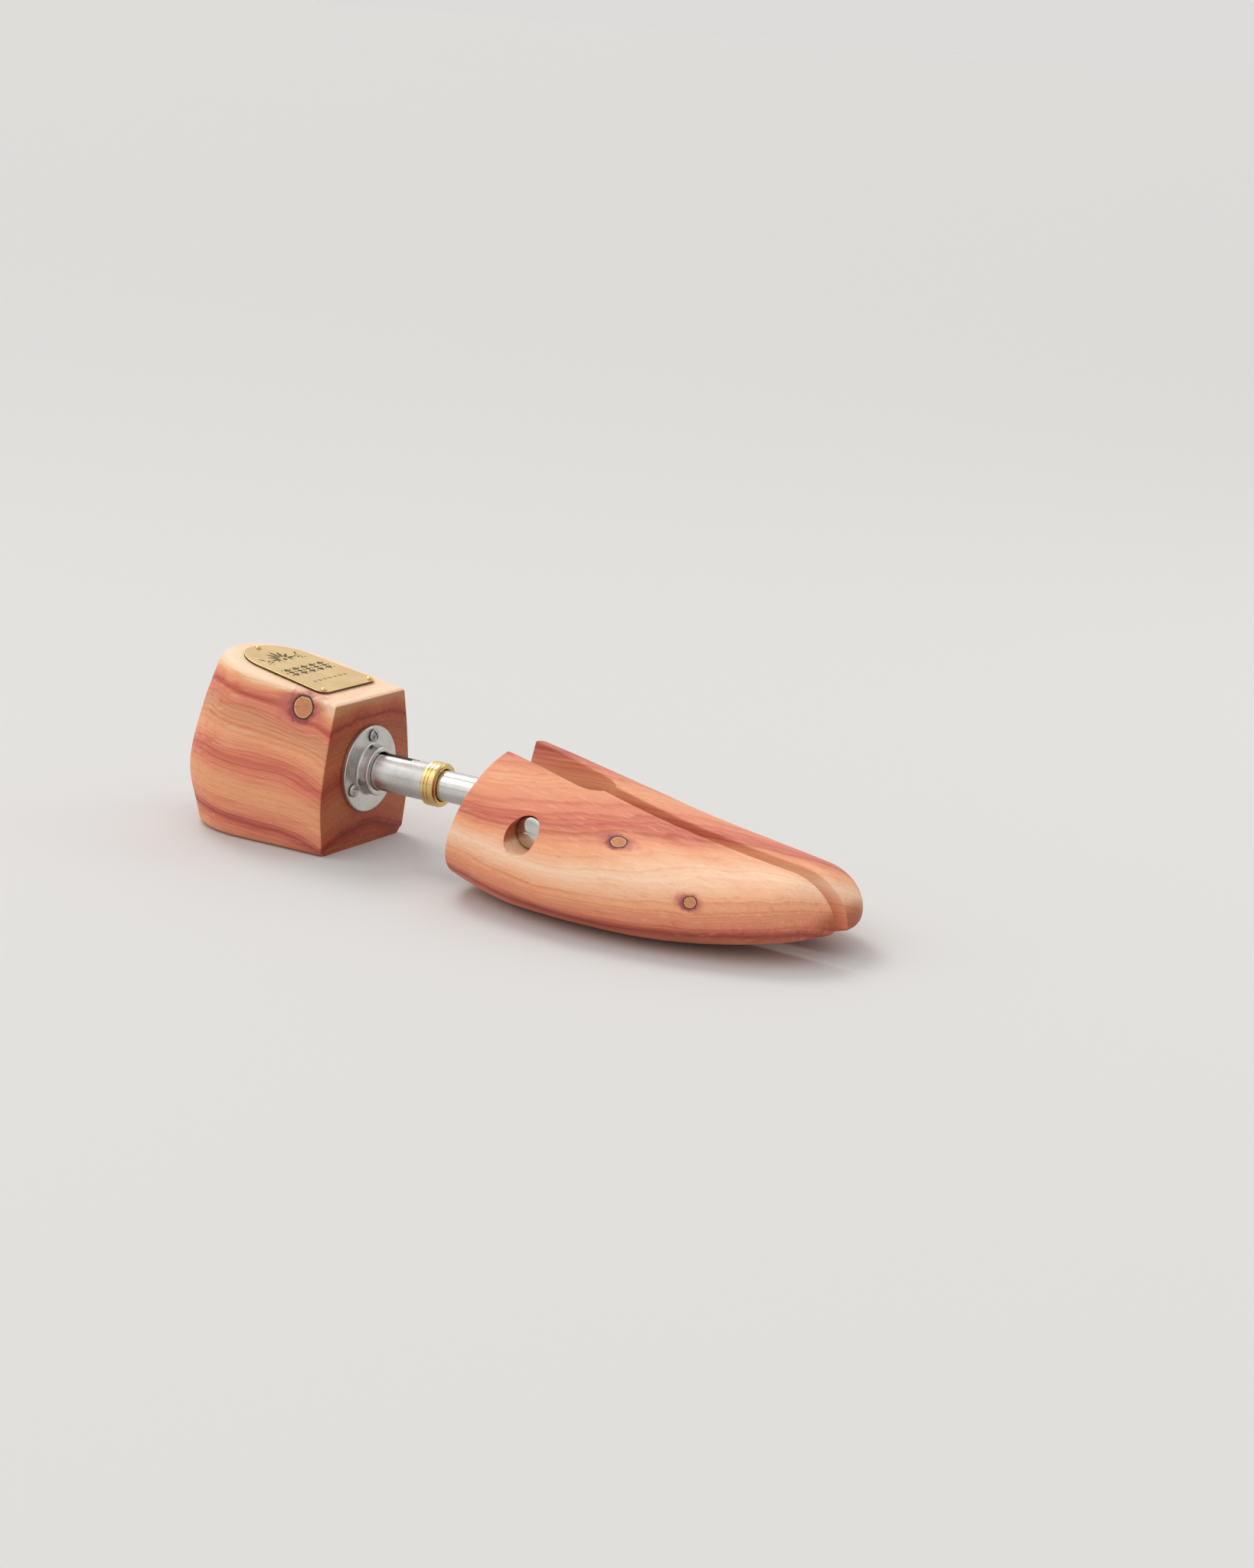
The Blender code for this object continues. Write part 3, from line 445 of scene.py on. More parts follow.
def block_outline(level, inset=0.0):
    """The block's plan at a level from 0, the seat, to 1, the top: from its outer front corner
    round the back."""
    back_x = HEEL_BACK_X + smooth_value(BLOCK_BACK_INSET, level) * MM
    rear = smooth_value(BLOCK_REAR_HALF_WIDTH, level) * MM - inset
    front = smooth_value(BLOCK_FRONT_HALF_WIDTH, level) * MM - inset
    side_x = back_x + BACK_CURVE_LENGTH
    curve = BACK_CURVE_LENGTH - inset
    corner = FRONT_EDGE_ROUND
    front_x = BLOCK_FRONT_X - min(inset, corner)
    side_steps = 16
    back_steps = 72
    points = [(x, -y) for x, y in arc((front_x - corner, front - corner), corner, 0, 90, 4)]
    corner_count = len(points)
    for k in range(1, side_steps):
        t = k / side_steps
        points.append((front_x - corner + t * (side_x - front_x + corner), -(front + t * (rear - front))))
    side_count = len(points)
    for k in range(back_steps + 1):
        angle = math.pi * k / back_steps
        depth = abs(math.sin(angle)) ** (2 / BACK_FULLNESS)
        width = abs(math.cos(angle)) ** (2 / BACK_FULLNESS)
        points.append((side_x - curve * depth, -math.copysign(rear * width, math.cos(angle))))
    points += [(x, -y) for x, y in points[corner_count:side_count][::-1]]
    points += [(x, -y) for x, y in points[:corner_count][::-1]]
    return [Vector(point) for point in points]


def block_rings():
    """Rings up the block: the rounded seat edge, the wall, and the roundover into the top."""
    round_steps = 8
    wall_steps = 30
    rings = []
    for k in range(round_steps):
        angle = math.pi / 2 * k / round_steps
        outline = block_outline(0, SEAT_ROUND * (1 - math.sin(angle)))
        height = SEAT_ROUND * (1 - math.cos(angle))
        rings.append([(p.x, p.y, height) for p in outline])
    for k in range(wall_steps):
        share = k / wall_steps
        ring = []
        for p in block_outline(share * ROUND_LEVEL):
            wall_top = block_top_z(p.x) - top_round(p.x)
            ring.append((p.x, p.y, SEAT_ROUND + share * (wall_top - SEAT_ROUND)))
        rings.append(ring)
    for k in range(round_steps + 1):
        angle = math.pi / 2 * k / round_steps
        outline = block_outline(ROUND_LEVEL + (1 - ROUND_LEVEL) * k / round_steps)
        insets = [top_round(p.x) * (1 - math.cos(angle)) for p in outline]
        ring = []
        for p, outer in zip(inset_outline(outline, insets), outline):
            ring.append((p.x, p.y, block_top_z(p.x) - top_round(outer.x) * (1 - math.sin(angle))))
        rings.append(ring)
    return rings


def make_heel_block():
    rings = [[(x, y + AXIS_Y, z) for x, y, z in ring] for ring in block_rings()]
    block = loft("heel_wood", rings)
    bore_start = (TUBE_LOW[0] - 0.3 * MM, AXIS_Y, TUBE_Z)
    combine(block, [rod("bore", bore_start, (1, 0, 0), OUTER_TUBE_RADIUS + BORE_SLACK, BLOCK_LENGTH)])
    dress(block, "heel", "cedar", cedar_heel(), "heel_block")


# ---------------------------------------------------------------- plate and pins


def plate_matrix():
    """From plate axes, with the rear pin at the origin and Z out of the top, to the tree's."""
    place = Vector((REAR_PIN_X, AXIS_Y, block_top_z(REAR_PIN_X)))
    return Matrix.Translation(place) @ Matrix.Rotation(TOP_SLOPE, 4, "Y")


def plate_outline():
    """Rear arc, straight flaring sides, and rounded front corners, all clockwise from above."""
    centre_u = PLATE_REAR_RADIUS - PLATE_REAR_MARGIN
    corner_u = PIN_ROW_LENGTH + PLATE_FRONT_MARGIN - PLATE_CORNER_RADIUS
    corner_v = PLATE_FRONT_HALF_WIDTH - PLATE_CORNER_RADIUS
    flare = math.degrees(math.atan2(PLATE_FRONT_HALF_WIDTH - PLATE_REAR_RADIUS, corner_u - centre_u))
    points = arc((centre_u, 0), PLATE_REAR_RADIUS, 270 - flare, 90 + flare, 60)
    points += arc((corner_u, corner_v), PLATE_CORNER_RADIUS, 90 + flare, 0, 14)
    points += arc((corner_u, -corner_v), PLATE_CORNER_RADIUS, 0, -90 - flare, 14)
    return [Vector(point) for point in points]


def outline_rings(outline, levels):
    """Rings of a flat piece, from (inset, height) levels."""
    rings = []
    for inset, height in levels:
        rings.append([(p.x, p.y, height) for p in inset_outline(outline, [inset] * len(outline))])
    return rings


def leaf(base, direction, length, width):
    """A pointed leaf's outline, from its base along a direction in degrees."""
    along = Vector((math.cos(math.radians(direction)), math.sin(math.radians(direction))))
    across = Vector((-along.y, along.x))
    steps = 10
    points = []
    for side in (1, -1):
        for k in range(steps):
            t = k / steps if side > 0 else 1 - k / steps
            swell = width / 2 * math.sin(math.pi * t**0.8)
            points.append(Vector(base) + along * (length * t) + across * (side * swell))
    return points


def kite(centre, back, front, width):
    """Four points: behind the centre along u, to its sides, and in front."""
    u, v = centre
    half = width / 2
    return [Vector((u - back, v)), Vector((u, v + half)), Vector((u + front, v)), Vector((u, v - half))]


def dot(centre, radius):
    return [Vector(point) for point in arc(centre, radius, 0, 345, 23)]


def scroll(centre, radius, start, end, width):
    """A thin C-scroll, swelling to its middle."""
    steps = 22
    points = []
    for side in (1, -1):
        for k in range(steps):
            t = k / steps if side > 0 else 1 - k / steps
            angle = math.radians(start + (end - start) * t)
            reach = radius + side * width / 2 * math.sin(math.pi * t) ** 0.6
            points.append(Vector((centre[0] + reach * math.cos(angle), centre[1] + reach * math.sin(angle))))
    return points


def ornament():
    """Outlines of the engraving, in millimetres: a fan of leaves between scrolls, a band of kites and
    lozenges, and a row of dots and leaves."""
    shapes = []
    fan_u = 13.4
    for k in range(-3, 4):
        angle = math.radians(180 + 27 * k)
        base = (fan_u + 2.0 * math.cos(angle), 2.0 * math.sin(angle))
        shapes.append(leaf(base, 180 + 27 * k, 6.6 - 0.55 * abs(k), 1.55))
    shapes.append(dot((fan_u, 0), 1.0))
    for side in (-1, 1):
        shapes.append(scroll((fan_u + 0.3, side * 8.3), 1.7, 0, side * 290, 0.55))
        shapes.append(dot((fan_u + 0.3, side * 8.3), 0.55))
        shapes.append(scroll((fan_u + 1.5, side * 3.7), 1.3, side * 60, side * 330, 0.45))
        shapes.append(leaf((fan_u - 2.0, side * 9.6), 180 - side * 40, 3.4, 1.0))
        shapes.append(dot((fan_u + 1.4, side * 11.3), 0.42))
    band_u = 24.8
    pitch = 5.3
    for k in range(-2, 3):
        v = k * pitch
        for reach in (-1, 1):
            shapes.append(kite((band_u + reach * 1.75, v), 0.5 * reach, 2.2 * reach, 4.2))
        shapes.append(kite((band_u, v), 1.15, 1.15, 3.4))
    for k in range(-3, 3):
        v = (k + 0.5) * pitch
        shapes.append(dot((band_u, v), 0.5))
        for reach in (-1, 1):
            shapes.append(dot((band_u + reach * 2.9, v), 0.36))
    row_u = 35.4
    for k in range(-6, 7):
        if k % 2:
            shapes.append(dot((row_u, k * 1.65), 0.3))
        else:
            shapes.append(leaf((row_u + 0.95, k * 1.65), 180, 1.9, 0.85))
    return [[point * MM for point in shape] for shape in shapes]


def make_plate():
    bevel = 0.14 * MM
    half = 0.07 * MM
    levels = [
        (bevel, PLATE_BOTTOM),
        (0, PLATE_BOTTOM + half),
        (0, PLATE_TOP - bevel),
        (0.3 * bevel, PLATE_TOP - 0.3 * bevel),
        (bevel, PLATE_TOP),
    ]
    plate = loft("brass_plate", outline_rings(plate_outline(), levels), sharp=60)
    plate.data.transform(plate_matrix())
    work = bmesh.new()
    for shape in ornament():
        low = [(p.x, p.y, PLATE_TOP - ENGRAVING_DEPTH) for p in shape]
        high = [(p.x, p.y, PLATE_TOP + 1 * MM) for p in shape]
        add_loft(work, [low, high])
    graver = mesh_object("graver", work)
    graver.data.transform(plate_matrix())
    graver.data.materials.append(engraving_fill())
    plate.data.materials.append(plate_brass())
    change = plate.modifiers.new("engrave", "BOOLEAN")
    change.operation = "DIFFERENCE"
    change.solver = "EXACT"
    change.material_mode = "TRANSFER"
    change.use_self = True
    change.object = graver
    bake_modifiers(plate)
    bpy.data.objects.remove(graver, do_unlink=True)
    # Painted shade and painted reflection: the plate's side walls get a dark material.
    plate.data.materials.append(plate_edge())
    edge_slot = len(plate.data.materials) - 1
    normal_up = plate_matrix().to_3x3() @ Vector((0, 0, 1))
    for face in plate.data.polygons:
        if face.material_index == 0 and abs(face.normal.dot(normal_up)) < 0.3:
            face.material_index = edge_slot
    plate.data.shade_smooth()
    plate.data.set_sharp_from_angle(angle=math.radians(15))
    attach(plate, "heel")
    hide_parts("name_plate")


def make_plate_pins():
    up = plate_matrix().to_3x3() @ Vector((0, 0, 1))
    places = {
        "rear": (0, 0),
        "lateral": (PIN_ROW_LENGTH, -PIN_ROW_HALF_WIDTH),
        "medial": (PIN_ROW_LENGTH, PIN_ROW_HALF_WIDTH),
    }
    profile = dome(PIN_HEAD_RADIUS, 0.12 * MM, 0.85 * MM, 12, 1.1)
    profile += [(PIN_HEAD_RADIUS, 0.05 * MM), (PIN_HEAD_RADIUS - 0.1 * MM, 0)]
    profile += [(PIN_SHANK_RADIUS, 0), (PIN_SHANK_RADIUS, -9 * MM), (0, -10 * MM)]
    for side, (u, v) in places.items():
        place = plate_matrix() @ Vector((u, v, PLATE_TOP))
        pin = turned("pin_head_" + side, profile, place, up, 48)
        dress(pin, "heel", "pin_brass", polished_brass(), "plate_pin_" + side)


# ---------------------------------------------------------------- forefoot


def sole_z(x):
    """The sole's height: flat at the ball, rising to the waist and to the toe."""
    if x < SOLE_FLAT[0]:
        return SOLE_TAIL_RISE * ((SOLE_FLAT[0] - x) / (SOLE_FLAT[0] - FOREFOOT_TAIL)) ** 1.8
    if x > SOLE_FLAT[1]:
        return SOLE_TOE_RISE * ((x - SOLE_FLAT[1]) / (TREE_LENGTH - SOLE_FLAT[1])) ** 1.8
    return 0


def closing(x, start, power):
    """1 behind the start, falling like a superellipse to 0 at the toe's tip."""
    share = min(max((x - start) / (TREE_LENGTH - start), 0), 1)
    return (1 - share**power) ** (1 / power)


class Section:
    """One cross-section of the last, in millimetres: a domed top over a flat, round-edged sole."""

    def __init__(self, x):
        self.low = sole_z(x)
        self.top = smooth_value(FOREFOOT_TOP_Z, x)
        self.widest = self.low + 0.40 * (self.top - self.low)
        self.height_share = closing(x, TOE_HEIGHT_START, 2)
        self.half = smooth_value(FOREFOOT_HALF_WIDTH, x) * closing(x, TOE_ROUND_START, TOE_ROUND_POWER)
        self.centre = smooth_value(FOREFOOT_CENTRE_Y, x)
        self.ridge = smooth_value(FOREFOOT_RIDGE_SHIFT, x)
        self.floor = self.low if x < TOE_HEIGHT_START else 0

    def point(self, angle):
        """The (y, z) at an angle: 0 is the inner side, a quarter turn is the top."""
        across = math.copysign(abs(math.cos(angle)) ** (2 / 2.2), math.cos(angle))
        rise = abs(math.sin(angle))
        y = self.centre + self.half * across
        if math.sin(angle) > 0:
            y += self.ridge * rise
            z = self.widest + rise * (self.top - self.widest)
        else:
            z = self.widest - min(1.12 * rise ** (2 / 2.6), 1) * (self.widest - self.low)
        toe_z = SOLE_TOE_RISE + 1.5
        z = max(toe_z + (z - toe_z) * self.height_share, self.floor)
        return y, z

    def angle_at(self, y, side, upper):
        """The angle where the outline crosses a plane of constant y, above or below."""
        outer = 0 if side > 0 else math.pi
        inner = math.pi - outer
        sign = 1 if upper else -1
        near, far = outer, inner
        for _ in range(40):
            middle = (near + far) / 2
            if side * (self.point(sign * middle)[0] - y) > 0:
                near = middle
            else:
                far = middle
        return sign * near


def slot_depth(x):
    """How far the tube's slot is cut back from the split's face: full at the tail, round at its end."""
    full = SLOT_HALF_WIDTH - SPLIT_HALF_GAP
    if x <= SLOT_END_CENTRE:
        return full
    ahead = x - SLOT_END_CENTRE
    if ahead >= SLOT_HALF_WIDTH:
        return 0
    return max(math.sqrt(SLOT_HALF_WIDTH**2 - ahead**2) - SPLIT_HALF_GAP, 0)


def rounded_corner(before, corner, after, radius, steps=4):
    """Points that take a corner off by a smooth curve, no more than the two sides allow."""
    into = corner - before
    out = after - corner
    reach = min(radius, into.length * 0.45, out.length * 0.45)
    start = corner - into.normalized() * reach if into.length > 1e-9 else corner
    end = corner + out.normalized() * reach if out.length > 1e-9 else corner
    points = []
    for k in range(steps + 1):
        t = k / steps
        points.append((1 - t) ** 2 * start + 2 * t * (1 - t) * corner + t**2 * end)
    return points


def half_outline(x, side):
    """The outline of one half at a station: up its split face, over the slot's step, and round its
    outside."""
    section = Section(x)
    face = side * SPLIT_HALF_GAP
    depth = slot_depth(x)
    step_y = face + side * depth
    low_angle = section.angle_at(face, side, upper=False)
    high_angle = section.angle_at(step_y, side, upper=True)
    if side < 0:
        low_angle += 2 * math.pi
    steps = 72
    outside = []
    for k in range(steps + 1):
        share = k / steps
        eased = (share + 0.5 * (1 - math.cos(math.pi * share))) / 2
        outside.append(Vector(section.point(high_angle + (low_angle - high_angle) * eased)))
    low = Vector((face, outside[-1].y))
    high = Vector((step_y, outside[0].y))
    floor_z = min(max(SLOT_FLOOR, low.y + 0.9), high.y - 0.4)
    points = rounded_corner(outside[-3], low, Vector((face, floor_z)), 0.8)
    step_round = Vector((min(0.6, depth / 2), 0.6))
    for k in range(4):
        turn = math.pi / 2 * k / 3
        across = side * step_round.x * (1 - math.cos(turn))
        points.append(Vector((face + across, floor_z - step_round.y * (1 - math.sin(turn)))))
    step_high = Vector((step_y, floor_z + 0.1))
    points.append(step_high)
    points += rounded_corner(step_high, high, outside[2], 0.8)
    points += outside[3:-3]
    return points


def half_end(side):
    """Where a half's section vanishes at the toe."""
    face = side * SPLIT_HALF_GAP
    low, high = 250.0, TREE_LENGTH
    for _ in range(40):
        middle = (low + high) / 2
        section = Section(middle)
        if side * (section.centre + side * section.half - face) > 0.25:
            low = middle
        else:
            high = middle
    return min(low, TREE_LENGTH - 0.02)


def tail_shift(z, x):
    """How far a point leans back towards the tail's slanting cut."""
    fade = min(max((SLOT_END_CENTRE - x) / (SLOT_END_CENTRE - FOREFOOT_TAIL), 0), 1)
    return math.tan(TAIL_LEAN) * z * fade


def half_ring(x, side):
    """A ring of points of a half, on a station that slants more and more towards the tail."""
    points = [outline_point(x, side, i) for i in range(len(half_outline(x, side)))]
    for _ in range(3):
        places = [x + tail_shift(p.y, x) for p in points]
        points = [outline_point(place, side, i) for i, place in enumerate(places)]
    return [Vector((x + tail_shift(p.y, x), p.x, p.y)) for p in points]


OUTLINES = {}


def outline_point(x, side, index):
    """A point of the outline at a station, read between stations a tenth of a millimetre apart."""
    low = math.floor(x * 10)
    share = x * 10 - low
    pair = []
    for tenth in (low, low + 1):
        key = (tenth, side)
        if key not in OUTLINES:
            OUTLINES[key] = half_outline(tenth / 10, side)
        pair.append(OUTLINES[key][index])
    return pair[0] * (1 - share) + pair[1] * share


def half_stations(side):
    """Stations along a half: close together at the slot's end and at the nose."""
    end = half_end(side)
    slot_end = SLOT_END_CENTRE + math.sqrt(SLOT_HALF_WIDTH**2 - SPLIT_HALF_GAP**2)
    stations = [FOREFOOT_TAIL + 0.8]
    while stations[-1] < TOE_HEIGHT_START:
        near_slot_end = SLOT_END_CENTRE - 1 < stations[-1] < slot_end + 0.5
        stations.append(stations[-1] + (0.3 if near_slot_end else 1.2))
    stations.pop()
    nose_steps = 44
    for k in range(nose_steps + 1):
        share = 0.9995 * k / nose_steps
        stations.append(TOE_HEIGHT_START + (end - TOE_HEIGHT_START) * math.sin(math.pi / 2 * share))
    return stations


def inset_ring(ring, amount, shift):
    """A ring moved inwards in its own section by an amount, and along by a shift."""
    middle = sum(ring, Vector()) / len(ring)
    moved = []
    for i, point in enumerate(ring):
        along = ring[(i + 1) % len(ring)] - ring[i - 1]
        inward = Vector((0, along.z, -along.y)).normalized()
        moved.append(point + inward * amount + Vector((shift, 0, 0)))
    if sum((p - middle).length for p in moved) > sum((p - middle).length for p in ring):
        return inset_ring(ring[::-1], amount, shift)[::-1]
    return moved


def make_toe_half(name, side):
    """One half of the forefoot, side -1 lateral or 1 medial, with its slot, bores and pockets."""
    rings = [half_ring(x, side) for x in half_stations(side)]
    tail = []
    for k in range(5):
        turn = math.pi / 2 * k / 4
        inset = TAIL_EDGE * (1 - math.sin(turn))
        tail.append(inset_ring(rings[0], inset, -TAIL_EDGE * math.cos(turn)))
    rings = tail + rings[1:]
    placed = []
    for ring in rings:
        placed.append([(HEEL_BACK_X + p.x * MM, p.y * MM + SECTION_SHIFT, p.z * MM) for p in ring])
    half = loft(name + "_wood", placed)
    out = (0, side, 0)
    far = 60 * MM
    front_depth, toe_depth = DOWEL_BORES[side]
    pocket = SPLAY_SPRING[0] + POCKET_SLACK
    pin_bore = PIVOT_RADIUS + BORE_SLACK
    guide_bore = DOWEL_RADIUS + BORE_SLACK
    recess = BOLT_HEAD_RADIUS + POCKET_SLACK
    pivot_steps = [(pocket, SPLAY_SPRING_POCKET), (pin_bore, BOLT_SEAT), (recess, far)]
    bores = {
        "pivot_bore": ((PIVOT_X, TUBE_Z), pivot_steps),
        "front_bore": (FRONT_DOWEL, [(pocket, TOE_SPRING_POCKET), (guide_bore, front_depth)]),
        "toe_bore": (TOE_DOWEL, [(guide_bore, toe_depth)]),
    }
    tools = []
    for label, ((x, z), steps) in bores.items():
        profile = [(0, 0)]
        for radius, depth in steps:
            profile += [(radius, profile[-1][1]), (radius, depth)]
        profile.append((0, profile[-1][1]))
        tools.append(turned(label, profile, (x, AXIS_Y, z), out, 64))
    combine(half, tools)
    dress(half, name, "cedar", cedar_toe(), name)


# ---------------------------------------------------------------- metal pieces


def rounded_profile(points, radius, steps=4):
    """A profile with every inner corner of its path rounded off."""
    path = [Vector(point) for point in points]
    made = [path[0]]
    for before, corner, after in zip(path, path[1:], path[2:]):
        made += rounded_corner(before, corner, after, radius, steps)
    made.append(path[-1])
    return [(max(p.x, 0), p.y) for p in made]


def make_pin(name):
    """A solid pin, plug or dowel with rounded ends."""
    node, axis, body, rounding, facets, steps = PINS[name]
    low, high = (Vector(corner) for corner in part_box(node))
    length = high[axis] - low[axis]
    radius = (high[axis - 1] - low[axis - 1]) / 2
    start = (low + high) / 2
    start[axis] = low[axis]
    direction = Vector()
    direction[axis] = 1
    points = [(0, 0), (radius, 0), (radius, length), (0, length)]
    pin = turned(name, rounded_profile(points, rounding, steps), start, direction, facets)
    dress(pin, body, "fastener_steel", fastener_steel(), node)


def make_tubes():
    """The slotted outer tube with its plug, and the inner tube that slides in it, with its pins."""
    outer_length = TUBE_HIGH[0] - TUBE_LOW[0]
    radius = OUTER_TUBE_RADIUS
    profile = [
        (TUBE_BORE, 0),
        (radius - 0.35 * MM, 0),
        (radius - 0.1 * MM, 0.1 * MM),
        (radius, 0.35 * MM),
        (radius, outer_length - 0.5 * MM),
        (radius - 0.15 * MM, outer_length - 0.12 * MM),
        (radius - 0.5 * MM, outer_length),
        (TUBE_BORE, outer_length),
    ]
    tube = turned("outer_sleeve", profile, (TUBE_LOW[0], AXIS_Y, TUBE_Z), (1, 0, 0))
    slot_low = (STOP_PIN_X - SLIDE_TRAVEL, AXIS_Y - TUBE_SLOT_HALF, TUBE_Z + 3 * MM)
    slot_high = (STOP_PIN_X, AXIS_Y + TUBE_SLOT_HALF, TUBE_Z + 12 * MM)
    tools = [box_object("slot", slot_low, slot_high)]
    for x in (slot_low[0], slot_high[0]):
        tools.append(rod("slot_end", (x, AXIS_Y, slot_low[2]), (0, 0, 1), TUBE_SLOT_HALF, 9 * MM, 40))
    combine(tube, tools)
    dress(tube, "heel", "nickel", brushed_nickel(), "outer_tube")
    make_pin("seat_disc")
    low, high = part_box("inner_tube")
    length = high[0] - low[0]
    bore, radius = INNER_TUBE_BORE, INNER_TUBE_RADIUS
    profile = rounded_profile([(bore, 0), (radius, 0), (radius, length), (bore, length)], 0.3 * MM)
    inner = turned("inner_sleeve", profile, (low[0], AXIS_Y, TUBE_Z), (1, 0, 0))
    stop_start = (STOP_PIN_X, AXIS_Y, TUBE_Z - 9 * MM)
    rivet_start = (EYE_RIVET_X, AXIS_Y - 9 * MM, TUBE_Z)
    stop = rod("stop_bore", stop_start, (0, 0, 1), STOP_PIN_RADIUS + PIN_SLACK, 18 * MM)
    rivet = rod("rivet_bore", rivet_start, (0, 1, 0), RIVET_RADIUS + PIN_SLACK, 18 * MM)
    combine(inner, [stop, rivet])
    dress(inner, "slider", "nickel", polished_nickel(), "inner_tube")
    for name in ("plug_disc", "stop_stud", "eye_stud"):
        make_pin(name)


def make_collar():
    """A brass ring on the tube's mouth, with two fine grooves and a rounded lip."""
    low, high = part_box("tube_collar")
    length = high[0] - low[0]
    bore, outer, groove, lip = COLLAR_BORE, COLLAR_RADIUS, COLLAR_GROOVE_RADIUS, COLLAR_LIP
    points = [(bore, 0), (outer - 0.5 * MM, 0), (outer, 0.5 * MM)]
    for middle in (1.9 * MM, 3.3 * MM):
        for radius, offset in ((outer, -0.3), (groove, -0.1), (groove, 0.1), (outer, 0.3)):
            points.append((radius, middle + offset * MM))
    points += arc((outer - lip, length - lip), lip, 0, 90, 8)
    points += [(bore + 0.3 * MM, length), (bore, length - 0.3 * MM)]
    collar = turned("collar_ring", points, (low[0], AXIS_Y, TUBE_Z), (1, 0, 0))
    dress(collar, "heel", "pin_brass", polished_brass(), "tube_collar")


def flange_screw_place(index):
    """A flange screw's foremost X, and its middle's Y and Z."""
    low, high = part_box(f"flange_screw_{index + 1}")
    return high[0], (low[1] + high[1]) / 2, (low[2] + high[2]) / 2


def make_flange():
    """A round flange on the block's front, with a neck round the tube and three screw holes."""
    low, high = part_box("tube_flange")
    length = high[0] - low[0]
    bore = OUTER_TUBE_RADIUS + 0.2 * MM
    edge, fillet = 0.6 * MM, 1 * MM
    points = [(bore, 0), (FLANGE_RADIUS, 0)]
    points += arc((FLANGE_RADIUS - edge, FLANGE_THICKNESS - edge), edge, 0, 90, 6)
    points += arc((FLANGE_NECK_RADIUS + fillet, FLANGE_THICKNESS + fillet), fillet, 270, 180, 6)
    points += arc((FLANGE_NECK_RADIUS - edge, length - edge), edge, 0, 90, 6)
    points += [(bore + 0.3 * MM, length), (bore, length - 0.3 * MM)]
    flange = turned("flange_disc", points, (low[0], AXIS_Y, TUBE_Z), (1, 0, 0), 108)
    holes = []
    for k in range(FLANGE_SCREWS):
        _, y, z = flange_screw_place(k)
        holes.append(rod("hole", (low[0] - 1 * MM, y, z), (1, 0, 0), 1.5 * MM, 6 * MM, 43))
    combine(flange, holes)
    dress(flange, "heel", "nickel", brushed_nickel(), "tube_flange")


def make_flange_screws():
    """Slotted dome-headed wood screws, each turned its own way."""
    radius, head = FLANGE_SCREW_HEAD
    profile = dome(radius, 0.2 * MM, head - 0.2 * MM, 8)
    profile += [(2.5 * MM, 0), (1.3 * MM, 0), (1.3 * MM, -11 * MM), (0, -13.8 * MM)]
    for k in range(FLANGE_SCREWS):
        top_x, y, z = flange_screw_place(k)
        screw = turned(f"flange_screw_head_{k + 1}", profile, (top_x - head, y, z), (1, 0, 0), 64)
        slot = box_object("slot", (-4 * MM, -0.35 * MM, -0.9 * MM), (4 * MM, 0.35 * MM, 1 * MM))
        turn = Matrix.Rotation(math.pi / 2, 4, "Y") @ Matrix.Rotation(math.radians(25 + 50 * k), 4, "Z")
        slot.data.transform(Matrix.Translation((top_x, y, z)) @ turn)
        combine(screw, [slot])
        dress(screw, "heel", "fastener_steel", fastener_steel(), f"flange_screw_{k + 1}")


def make_pivot_eye():
    """A turned shank flattened to a round-ended tongue, on the bolt between the halves."""
    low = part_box("pivot_eye")[0]
    tube_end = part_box("inner_tube")[1][0]
    shoulder = tube_end + 0.2 * MM - low[0]
    points = [
        (0, 0),
        (EYE_SHANK_RADIUS - 0.5 * MM, 0),
        (EYE_SHANK_RADIUS, 0.5 * MM),
        (EYE_SHANK_RADIUS, shoulder),
        (5.6 * MM, shoulder),
        (6.0 * MM, shoulder + 0.4 * MM),
        (6.0 * MM, shoulder + 2.3 * MM),
        (5.4 * MM, shoulder + 3.1 * MM),
        (0, shoulder + 4.5 * MM),
    ]
    eye = turned("eye_tongue", points, (low[0], AXIS_Y, TUBE_Z), (1, 0, 0), 96)
    rear_x = tube_end + 1.4 * MM
    neck = 5.2 * MM
    outline = [(rear_x, -neck), (rear_x, neck)] + arc((PIVOT_X, 0), EYE_RADIUS, 115, -115, 48)
    flat = [Vector(point) for point in outline]
    rings = []
    for share, inset in ((-1, 0.28 * MM), (-0.93, 0), (0.93, 0), (1, 0.28 * MM)):
        ring = inset_outline(flat, [inset] * len(flat))
        rings.append([(p.x, AXIS_Y + share * EYE_HALF_THICKNESS, TUBE_Z + p.y) for p in ring])
    combine(eye, [loft("tongue", rings)], "UNION")
    pivot_start = (PIVOT_X, AXIS_Y - 8 * MM, TUBE_Z)
    rivet_start = (EYE_RIVET_X, AXIS_Y - 9 * MM, TUBE_Z)
    bores = [
        rod("bore", pivot_start, (0, 1, 0), PIVOT_RADIUS + NUT_SLACK, 16 * MM, 64),
        rod("rivet_bore", rivet_start, (0, 1, 0), RIVET_RADIUS + PIN_SLACK, 18 * MM, 49),
    ]
    combine(eye, bores, sharp=30)
    dress(eye, "slider", "fastener_steel", brushed_nickel(), "pivot_eye")


